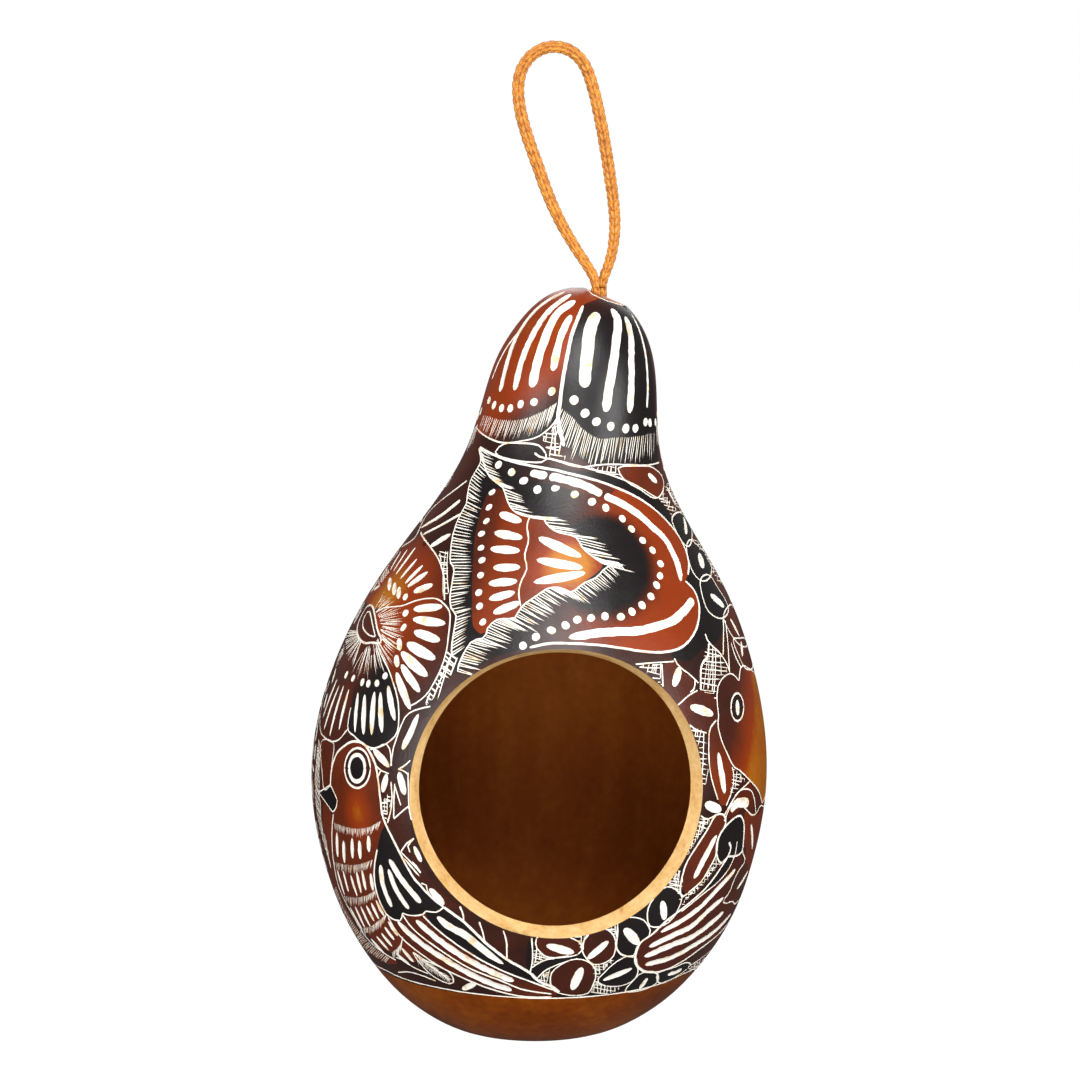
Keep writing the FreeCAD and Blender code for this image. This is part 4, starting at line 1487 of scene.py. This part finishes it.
def open_edges(faces):
    uses = {}
    for a, b, c in faces.tolist():
        for pair in ((a, b), (b, c), (c, a)):
            key = (min(pair), max(pair))
            uses[key] = uses.get(key, 0) + 1
    return [edge for edge, count in uses.items() if count == 1]


window_axis = np.array((math.sin(window_turn), -math.cos(window_turn), 0))


def window_angle(point):
    """The angle round the window's flared cut at which a point lies."""
    x = point[0] - axis_x
    y = point[1]
    distance = x * math.sin(window_turn) - y * math.cos(window_turn)
    across = x * math.cos(window_turn) + y * math.sin(window_turn)
    half, top, bottom = window_size(distance)
    height = point[2] - gourd_bottom_z
    return math.atan2((height - (top + bottom) / 2) / ((top - bottom) / 2), across / half) % (2 * math.pi)


def hole_angle(point):
    return math.atan2(point[1], point[0] - hole_x) % (2 * math.pi)


def sorted_ring(vertices, points, angle_of):
    return sorted(((v, angle_of(points[v])) for v in vertices), key=lambda pair: pair[1])


def at_tip(point):
    """Whether a point is on the small ring that the chart leaves open at the crown's tip."""
    return math.hypot(point[0] - axis_x - shares[-1, 2] * gourd_radius, point[1]) < 0.75


def split_open(faces, points):
    """The open vertices round the window and round the cord hole, and the tip's open edges."""
    window = set()
    hole = set()
    tip = []
    for edge in open_edges(faces):
        if at_tip(points[edge[0]]) and at_tip(points[edge[1]]):
            tip.append(edge)
        elif points[edge[0]][2] > mouth_z - 2 * wall_thickness:
            hole.update(edge)
        else:
            window.update(edge)
    return window, hole, tip


# The sheet's bands, each a lower edge and a height
sheet_margin = 0.01
skin_band = (0.305, 0.685)
lining_band = (0.105, 0.18)
bore_band = (0.07, 0.02)
rim_band = (0.015, 0.045)


def turn_share(angle):
    """Angles at faces' corners as shares of the sheet's width. A face across the seam stays whole."""
    crosses = np.ptp(angle, axis=1, keepdims=True) > math.pi
    whole = np.where(crosses & (angle < 0), angle + 2 * math.pi, angle)
    return np.clip(sheet_margin + (1 - 2 * sheet_margin) * (whole + math.pi) / (2 * math.pi), 0, 1)


def lay_flat(mesh, points, faces, counts, window_middle):
    """One sheet for the shell's colours, with a band each for the skin, the lining, the bore and the rim."""
    corners = points[faces]
    height = corners[..., 2] - gourd_bottom_z
    x = corners[..., 0] - axis_x - np.interp(height, outside.height, outside.lean)
    y = corners[..., 1]
    rise = np.arctan2(height - 0.35 * gourd_height, np.hypot(x, y)) / math.pi + 0.5
    share = 0.5 * np.clip(height / gourd_height, 0, 1) + 0.5 * rise
    sheet = np.stack([turn_share(np.arctan2(x, -y)), skin_band[0] + skin_band[1] * share], axis=-1)
    skin, lining, rim, bore, outer_tip = np.cumsum(counts)
    for part in (slice(skin, lining), slice(outer_tip, None)):
        sheet[part, :, 1] = lining_band[0] + lining_band[1] * share[part]
    from_middle = corners[lining:rim] - window_middle
    across = from_middle[..., 0] * math.cos(window_turn) + from_middle[..., 1] * math.sin(window_turn)
    depth = from_middle @ window_axis
    sheet[lining:rim, :, 0] = turn_share(np.arctan2(from_middle[..., 2], across))
    sheet[lining:rim, :, 1] = rim_band[0] + rim_band[1] * (depth - depth.min()) / np.ptp(depth)
    part = corners[rim:bore]
    sheet[rim:bore, :, 0] = turn_share(np.arctan2(part[..., 1], part[..., 0] - hole_x))
    down = 0.5 * np.hypot(part[..., 0] - hole_x, part[..., 1]) - part[..., 2]
    sheet[rim:bore, :, 1] = bore_band[0] + bore_band[1] * (down - down.min()) / np.ptp(down)
    layer = mesh.uv_layers.new(name="OFBake")
    layer.uv.foreach_set("vector", sheet.reshape(-1).astype(np.float32))


# The rim is a little wavy, as (waves round it, size, phase), and has one small split at its bottom.
rim_rows = 7
rim_waves = ((3, 0.10, 0.4), (7, 0.07, 1.9), (13, 0.05, 0.2), (29, 0.03, 2.2))
rim_wave_drift = 1.3
split_angle = math.radians(-104)
split_depth = 1.1
split_reach = 0.022
split_lean = 0.05
scar_wear = 0.35
bore_rows = (0.0, 0.35, 0.7)


def rim_lines(outer_line, inner_line):
    turns = np.array(rim_angles)
    lines = []
    for row in range(1, rim_rows):
        share = row / rim_rows
        line = outer_line + (inner_line - outer_line) * share
        outward = line - line.mean(axis=0)
        outward /= np.linalg.norm(outward, axis=1, keepdims=True)
        wave = np.zeros(rim_steps)
        for waves, size, phase in rim_waves:
            wave += size * np.sin(turns * waves + phase + rim_wave_drift * share)
        gap = (turns - split_angle + math.pi - split_lean * share) % (2 * math.pi) - math.pi
        split = split_depth * (1 - 0.5 * share) * np.exp(-(gap / split_reach) ** 2)
        swell = math.sin(math.pi * share)
        lines.append(line + outward * (wave * swell + split * min(1.0, swell * 1.6))[:, None])
    return lines


def bore_lines():
    lines = []
    for share in bore_rows:
        line = []
        for angle in hole_angles:
            x = hole_x + hole_radius * math.cos(angle)
            y = hole_radius * math.sin(angle)
            top = min(scar_z(x) - scar_wear, mouth_z + mouth_wear_height)
            foot = crown_height(inside, x, y)
            line.append((x, y, top + (foot - top) * share))
        lines.append(line)
    return lines


def ring_band(start, lines, angles, end, first):
    """Points and faces from one sorted ring over rows of new points to another. first is the first index."""
    points = []
    faces = []
    for line in lines:
        ring = [(first + len(points) + i, angle) for i, angle in enumerate(angles)]
        points.extend(line)
        faces.extend(zipper(start, ring))
        start = ring
    faces.extend(zipper(start, end))
    return points, np.array(faces)


def add_shell():
    outer, turned = flip_to(skin_points, skin_triangles, skin_normals[skin_triangles].mean(axis=1))
    inner, _ = flip_to(in_points, in_triangles, in_normals[in_triangles].mean(axis=1))
    outer_window, outer_hole, outer_tip = split_open(outer, skin_points)
    inner_window, inner_hole, inner_tip = split_open(inner, in_points)
    offset = len(skin_points)

    def band(outer_ring, lines, angles, inner_ring, angle_of, first):
        end = [(vertex + offset, angle) for vertex, angle in sorted_ring(inner_ring, in_points, angle_of)]
        return ring_band(sorted_ring(outer_ring, skin_points, angle_of), lines, angles, end, first)

    outer_line = outside.points(np.array(window_outside))
    inner_line = inside.points(np.array(window_inside))
    first = offset + len(in_points)
    rim_points, rim_faces = band(outer_window, rim_lines(outer_line, inner_line), rim_angles, inner_window,
                                 window_angle, first)
    bore_points, bore_faces = band(outer_hole, bore_lines(), hole_angles, inner_hole, hole_angle,
                                   first + len(rim_points))
    points = np.concatenate([skin_points, in_points, rim_points, bore_points])
    tips = []
    for tip, shift, rise in ((outer_tip, 0, 1.0), (inner_tip, offset, -1.0)):
        corners = sorted({vertex + shift for edge in tip for vertex in edge})
        points = np.concatenate([points, [points[corners].mean(axis=0)]])
        fan = np.array([(a + shift, b + shift, len(points) - 1) for a, b in tip])
        tips.append(flip_to(points, fan, np.array([[0, 0, rise]] * len(fan)))[0])

    middle = (outer_line.mean(axis=0) + inner_line.mean(axis=0)) / 2
    centres = points[rim_faces].mean(axis=1)
    along = ((centres - middle) @ window_axis)[:, None] * window_axis
    rim_faces, _ = flip_to(points, rim_faces, middle + along - centres)
    towards = np.array((hole_x, 0, 0)) - points[bore_faces].mean(axis=1)
    towards[:, 2] = 0.5
    bore_faces, _ = flip_to(points, bore_faces, towards)

    groups = ((outer, SKIN), (inner + offset, LINING), (rim_faces, RIM), (bore_faces, RIM), (tips[0], SKIN),
              (tips[1], LINING))
    faces = np.concatenate([group for group, _ in groups])
    slots = np.concatenate([np.full(len(group), slot) for group, slot in groups])
    counts = [len(group) for group, _ in groups[:-1]]
    skin_end, lining_end, rim_end, bore_end, _ = np.cumsum(counts)
    slots[:skin_end][skin_scar] = RIM
    slots[:skin_end][skin_tone == carving.kinds.index("region")] = BASE

    made = new_object("carved_shell", points, faces, shell_materials, slots)
    mesh = made.data
    tones = np.full((len(faces), 3), 0.5)
    tones[:skin_end] = np.where(turned[:, None], burn[:, ::-1], burn)
    burnt = mesh.attributes.new("burn", "FLOAT", "CORNER")
    burnt.data.foreach_set("value", tones.astype(np.float32).ravel())

    a, b, c = points[faces[:, 0]], points[faces[:, 1]], points[faces[:, 2]]
    flat_normals = np.cross(b - a, c - a)
    unit = flat_normals / np.maximum(np.linalg.norm(flat_normals, axis=1, keepdims=True), 1e-12)
    normals = np.repeat(unit[:, None, :], 3, axis=1)
    plain = np.flatnonzero(~skin_cut & ~skin_scar)
    normals[plain] = skin_normals[faces[plain]]
    normals[np.flatnonzero(skin_scar)] = np.array((math.sin(scar_tilt), 0, math.cos(scar_tilt)))
    normals[skin_end:lining_end] = in_normals[faces[skin_end:lining_end] - offset]
    for group in (slice(lining_end, rim_end), slice(rim_end, bore_end)):
        sums = np.zeros((len(points), 3))
        for corner in range(3):
            np.add.at(sums, faces[group][:, corner], flat_normals[group])
        sums /= np.maximum(np.linalg.norm(sums, axis=1, keepdims=True), 1e-12)
        normals[group] = sums[faces[group]]
    mesh.normals_split_custom_set(normals.reshape(-1, 3).tolist())
    lay_flat(mesh, points, faces, counts, middle)
    return made


def add_lines():
    """The bare wood of every cut, as closed slivers that lie in the grooves."""
    cut_triangles = skin_triangles[skin_cut]
    used = np.unique(cut_triangles)
    sunk = sinks[used] > 0
    top = on_scar(outside.points(places[used], sinks[used] * wood_top_share))
    low = on_scar(outside.points(places[used][sunk], sinks[used][sunk]))
    index_top = np.zeros(len(places), int)
    index_top[used] = np.arange(len(used))
    index_low = index_top.copy()
    index_low[used[sunk]] = len(used) + np.arange(sunk.sum())
    points = np.concatenate([top, low])
    upper, _ = flip_to(points, index_top[cut_triangles], skin_normals[cut_triangles].mean(axis=1))
    lower, _ = flip_to(points, index_low[cut_triangles], -skin_normals[cut_triangles].mean(axis=1))
    has_depth = (index_low[cut_triangles] != index_top[cut_triangles]).any(axis=1)
    faces = np.concatenate([upper[has_depth], lower[has_depth]])
    return new_object("carved_lines", points, faces, [bare_material], None, False)


shell = add_shell()
lines = add_lines()
for piece in (shell, lines):
    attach(piece, "gourd")
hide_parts("gourd_shell")


# The cord: golden and knitted, with four columns of stitches round a darker core, whose colour is painted shade
# in the gaps between them.
# The route's points are the control points of its smooth line.

loop_route = (
    (11.45, -1.20, -58.35),
    (11.45, -1.20, -57.10),
    (10.90, -1.20, -55.20),
    (9.20, -1.15, -52.50),
    (6.40, -1.00, -48.40),
    (2.60, -0.80, -42.00),
    (-0.60, -0.50, -35.00),
    (-3.00, -0.20, -28.00),
    (-5.50, 0.05, -21.30),
    (-7.40, 0.20, -14.60),
    (-8.10, 0.25, -9.40),
    (-7.50, 0.20, -4.40),
    (-4.80, 0.10, -0.40),
    (-0.50, 0.00, 1.75),
    (4.30, -0.05, 1.30),
    (8.10, 0.00, -1.60),
    (10.20, 0.10, -6.30),
    (12.00, 0.20, -13.30),
    (13.60, 0.30, -21.50),
    (15.00, 0.45, -30.00),
    (16.10, 0.65, -37.60),
    (16.40, 0.85, -43.60),
    (15.80, 1.00, -49.20),
    (14.50, 1.15, -53.40),
    (13.40, 1.20, -56.00),
    (13.15, 1.20, -57.20),
    (13.15, 1.20, -58.35),
)
leg_offset_x = 0.85
leg_offset_y = 1.20
tail_lengths = (14.0, 11.0)
tail_splay_share = 0.16
tail_bend_share = 0.4
stitch_pitch = 1.95
stitch_columns = 4
stitch_radius = 0.47
stitch_reach = 1.55
stitch_spread = (0.80, 0.18)
tight_radius = 1.22
slack_radius = 1.58
tail_radius = 1.27
core_inset = 0.36
knot_strand = 1.35
knot_margin = 0.1
YARN, CORE = range(2)


def smooth_line(route):
    """Points along the smooth line that a route's points control, in millimetres."""
    data = bpy.data.curves.new("route", "CURVE")
    data.dimensions = "3D"
    data.resolution_u = 24
    line = data.splines.new("NURBS")
    line.points.add(len(route) - 1)
    for point, (x, y, z) in zip(line.points, route):
        point.co = (x * MM, y * MM, z * MM, 1.0)
    line.order_u = 3
    line.use_endpoint_u = True
    holder = bpy.data.objects.new("route", data)
    mesh = bpy.data.meshes.new_from_object(holder)
    points = np.array([tuple(vertex.co) for vertex in mesh.vertices]) / MM
    bpy.data.meshes.remove(mesh)
    bpy.data.objects.remove(holder)
    bpy.data.curves.remove(data)
    return points


class Thread:
    """A line with a frame that doesn't twist, to lay stitches on."""

    def __init__(self, points, spacing=0.25):
        run = np.concatenate(([0], np.cumsum(np.linalg.norm(np.diff(points, axis=0), axis=1))))
        self.length = run[-1]
        self.marks = np.linspace(0, self.length, max(3, int(self.length / spacing)))
        self.line = np.stack([np.interp(self.marks, run, points[:, axis]) for axis in range(3)], axis=1)
        self.ahead = np.gradient(self.line, self.marks, axis=0)
        self.ahead /= np.linalg.norm(self.ahead, axis=1, keepdims=True)
        across = np.cross(self.ahead[0], (0.3, 1.0, 0.1))
        sides = []
        for tangent in self.ahead:
            across = across - tangent * (across @ tangent)
            across /= np.linalg.norm(across)
            sides.append(across)
        self.side = np.array(sides)
        self.other = np.cross(self.ahead, self.side)

    def at(self, mark, angle, radius):
        """Points at a length along the thread, an angle round it and a radius from it."""
        def value(rows):
            return np.stack([np.interp(mark, self.marks, rows[:, axis]) for axis in range(3)], axis=-1)
        reach = value(self.side) * np.cos(angle)[..., None] + value(self.other) * np.sin(angle)[..., None]
        return value(self.line) + reach * np.asarray(radius)[..., None]


def tube(centres, radii, sides=7):
    """Rings round a line of centres, closed at both ends."""
    centres = np.asarray(centres)
    ahead = np.gradient(centres, axis=0)
    ahead /= np.linalg.norm(ahead, axis=1, keepdims=True)
    across = np.cross(ahead[0], (0.31, 0.9, 0.27))
    points = []
    for centre, tangent, radius in zip(centres, ahead, radii):
        across = across - tangent * (across @ tangent)
        across /= np.linalg.norm(across)
        other = np.cross(tangent, across)
        for i in range(sides):
            angle = 2 * math.pi * i / sides
            points.append(centre + radius * (math.cos(angle) * across + math.sin(angle) * other))
    faces = []
    for row in range(len(centres) - 1):
        for i in range(sides):
            a = row * sides + i
            b = row * sides + (i + 1) % sides
            faces.append((a, b, b + sides, a + sides))
    faces.append(tuple(reversed(range(sides))))
    faces.append(tuple(range((len(centres) - 1) * sides, len(centres) * sides)))
    return points, faces


def in_slot(slot, made):
    """A mesh's points and faces, with the same material slot for each face."""
    points, faces = made
    return points, faces, [slot] * len(faces)


def joined(parts):
    """One mesh from several, each given as points, faces and slots."""
    points = []
    faces = []
    slots = []
    for part_points, part_faces, part_slots in parts:
        faces.extend(tuple(i + len(points) for i in face) for face in part_faces)
        points.extend(part_points)
        slots.extend(part_slots)
    return points, faces, slots


def knitted(points, radius_of):
    """Stitches in four columns, each two short legs that meet in a V, over a core."""
    thread = Thread(points)
    # The core takes the darker core material: painted shade for the gaps between the stitches.
    core_marks = np.linspace(0, thread.length, max(4, int(thread.length / 0.8)))
    core = thread.at(core_marks, np.zeros(len(core_marks)), np.zeros(len(core_marks)))
    core_radii = np.array([radius_of(mark / thread.length) for mark in core_marks]) - core_inset
    parts = [in_slot(CORE, tube(core, core_radii, 10))]
    rows = max(1, round(thread.length / stitch_pitch))
    pitch = thread.length / rows
    share = np.linspace(0, 1, 6)
    for column in range(stitch_columns):
        middle = 2 * math.pi * column / stitch_columns + 0.4
        for row in range(-1, rows):
            for side in (-1, 1):
                start = (row + 0.5 * (column % 2)) * pitch
                marks = start + share * stitch_reach * pitch
                inside_marks = np.clip(marks, 0.25, thread.length - 0.25)
                if inside_marks[-1] - inside_marks[0] < 0.7 * pitch:
                    continue
                spread = stitch_spread[0] + (stitch_spread[1] - stitch_spread[0]) * share
                radius = radius_of(min(max((start + 0.8 * pitch) / thread.length, 0), 1))
                lift = radius - stitch_radius + 0.12 * np.sin(math.pi * share) - 0.25 * (1 - share) ** 2
                lift = lift + rng.uniform(-0.03, 0.03)
                line = thread.at(inside_marks, middle + side * spread * rng.uniform(0.95, 1.05), lift)
                thick = stitch_radius * np.sqrt(np.clip(1 - (2 * share - 1) ** 4, 0.12, 1))
                parts.append(in_slot(YARN, tube(line, thick)))
    return joined(parts)


def cord_materials():
    made = []
    # The core's colour is a darker gold than the yarn's: painted shade where it shows between the stitches and
    # inside the knot.
    for name, light, dark in (("golden_yarn", linear(218, 144, 46), linear(178, 104, 20)),
                              ("cord_core_painted_shade", linear(168, 98, 20), linear(128, 70, 12))):
        n = Nodes(name)
        n.finish(n.ramp(n.noise(700, 2), ((0.35, dark), (0.65, light))), 0.42, 0.5)
        n.shader.inputs["Sheen Weight"].default_value = 0.25
        n.shader.inputs["Sheen Roughness"].default_value = 0.4
        made.append(n.material)
    return made


def vertical(x, y, top, foot, steps=12):
    return np.array([(x, y, top + (foot - top) * i / steps) for i in range(steps + 1)])


def add_cord():
    materials = cord_materials()
    loop_line = smooth_line(loop_route)

    def piece(name, threads):
        points, faces, slots = joined(threads)
        return new_object(name, points, faces, materials, slots)

    def loop_radius(share):
        slack = min(1.0, 1.6 * math.sin(math.pi * share)) ** 0.8
        return tight_radius + (slack_radius - tight_radius) * slack

    loop = piece("knitted_loop", [knitted(loop_line, loop_radius)])

    legs = []
    for side in (-1, 1):
        line = vertical(hole_x + side * leg_offset_x, side * leg_offset_y, pivot_z, hole_foot_z - 0.4)
        legs.append(knitted(line, lambda share: tight_radius))
    leg_piece = piece("cord_legs", legs)

    knot_top = hole_foot_z
    knot_corner_low, knot_corner_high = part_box("cord_knot")
    knot_low = knot_corner_low.z / MM
    knot_reach = (knot_corner_high.y - knot_corner_low.y) / MM / 2
    knot_mid = (knot_top + knot_low) / 2
    turns = np.linspace(0, 2 * math.pi, 160)
    spread = (knot_reach - knot_strand - knot_margin) / 3
    rise = (knot_top - knot_low) / 2 - knot_strand - knot_margin
    line = np.stack((hole_x + spread * (np.sin(turns) + 2 * np.sin(2 * turns)),
                     spread * (np.cos(turns) - 2 * np.cos(2 * turns)),
                     knot_mid - rise * np.sin(3 * turns)), axis=1)
    thread = knitted(line, lambda share: knot_strand)
    # The plug in the knot's middle takes the core's darker colour: painted shade.
    plug = tube(vertical(hole_x, 0, knot_top - 0.2, knot_low + 0.2), [2.0] * 13, 12)
    knot = piece("overhand_knot", [thread, in_slot(CORE, plug)])

    tails = []
    for side, length in zip((-1, 1), tail_lengths):
        x = hole_x + side * leg_offset_x
        y = side * leg_offset_y
        splay = side * tail_splay_share * length
        bend = tail_bend_share * length
        line = smooth_line((
            (x, y, knot_low + 0.3),
            (x, y, knot_low - bend / 2),
            (x + splay / 3, y + splay / 4, knot_low - bend - bend / 3),
            (x + splay, y + splay, knot_low - length),
        ))
        tails.append(knitted(line, lambda share: tail_radius))
    tail_piece = piece("cord_tail_ends", tails)

    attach(loop, "loop")
    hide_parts("hanging_loop")
    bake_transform(leg_piece)
    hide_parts("cord_in_hole")
    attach(knot, "knot")
    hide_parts("cord_knot")
    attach(tail_piece, "knot")
    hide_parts("cord_tails")


add_cord()


# Camera, light and floor

# Name, place, height aimed at, size and watts, in metres
studio_lights = (
    ("key", (0.2, -1.15, 0.85), -0.12, 1.1, 18),
    ("left", (-1.0, -0.95, 0.0), -0.15, 0.9, 11),
    ("right", (1.1, -0.8, -0.1), -0.15, 0.9, 11),
    ("low", (0.0, -1.3, -0.4), -0.15, 0.7, 8),
    ("rear", (0.2, 1.2, 0.7), -0.12, 1.2, 8),
)
world_light = 0.14
floor_z = -0.6
floor_half = 12.0


def add_camera():
    data = bpy.data.cameras.new("photo_camera")
    data.sensor_width = 36.0
    data.lens = data.sensor_width * focal_pixels / photo_pixels
    data.clip_start = 0.01
    data.clip_end = 50.0
    made = bpy.data.objects.new("photo_camera", data)
    bpy.context.scene.collection.objects.link(made)
    made.location = camera_point * MM
    made.rotation_euler = (math.pi / 2 - camera_pitch, 0, 0)
    bpy.context.scene.camera = made


def area_light(name, place, aim_z, size, watts):
    data = bpy.data.lights.new(name, "AREA")
    data.shape = "DISK"
    data.size = size
    data.energy = watts
    made = bpy.data.objects.new(name, data)
    bpy.context.scene.collection.objects.link(made)
    made.location = place
    aim = Vector((0, 0, aim_z))
    made.rotation_euler = (aim - Vector(place)).to_track_quat("-Z", "Y").to_euler()


def add_stage():
    scene = bpy.context.scene
    scene.view_settings.view_transform = "Standard"
    world = bpy.data.worlds.new("studio")
    world.use_nodes = True
    scene.world = world
    tree = world.node_tree
    tree.nodes.clear()
    path = tree.nodes.new("ShaderNodeLightPath")
    mix = tree.nodes.new("ShaderNodeMixShader")
    out = tree.nodes.new("ShaderNodeOutputWorld")
    tree.links.new(path.outputs["Is Camera Ray"], mix.inputs[0])
    for socket, strength in ((mix.inputs[1], world_light), (mix.inputs[2], 1.0)):
        background_node = tree.nodes.new("ShaderNodeBackground")
        background_node.inputs["Color"].default_value = (1.0, 1.0, 1.0, 1.0)
        background_node.inputs["Strength"].default_value = strength
        tree.links.new(background_node.outputs[0], socket)
    tree.links.new(mix.outputs[0], out.inputs["Surface"])

    mesh = bpy.data.meshes.new("floor")
    corners = [(floor_half * x, floor_half * y, floor_z) for x, y in ((-1, -1), (1, -1), (1, 1), (-1, 1))]
    mesh.from_pydata(corners, [], [(0, 1, 2, 3)])
    floor = bpy.data.objects.new("floor", mesh)
    scene.collection.objects.link(floor)
    n = Nodes("pale_floor")
    n.shader.inputs["Base Color"].default_value = (0.1, 0.1, 0.1, 1.0)
    n.shader.inputs["Roughness"].default_value = 0.9
    n.shader.inputs["Emission Color"].default_value = (1.0, 1.0, 1.0, 1.0)
    n.link(n.add("ShaderNodeLightPath").outputs["Is Camera Ray"], n.shader.inputs["Emission Strength"])
    mesh.materials.append(n.material)

    for light in studio_lights:
        area_light(*light)


add_camera()
add_stage()
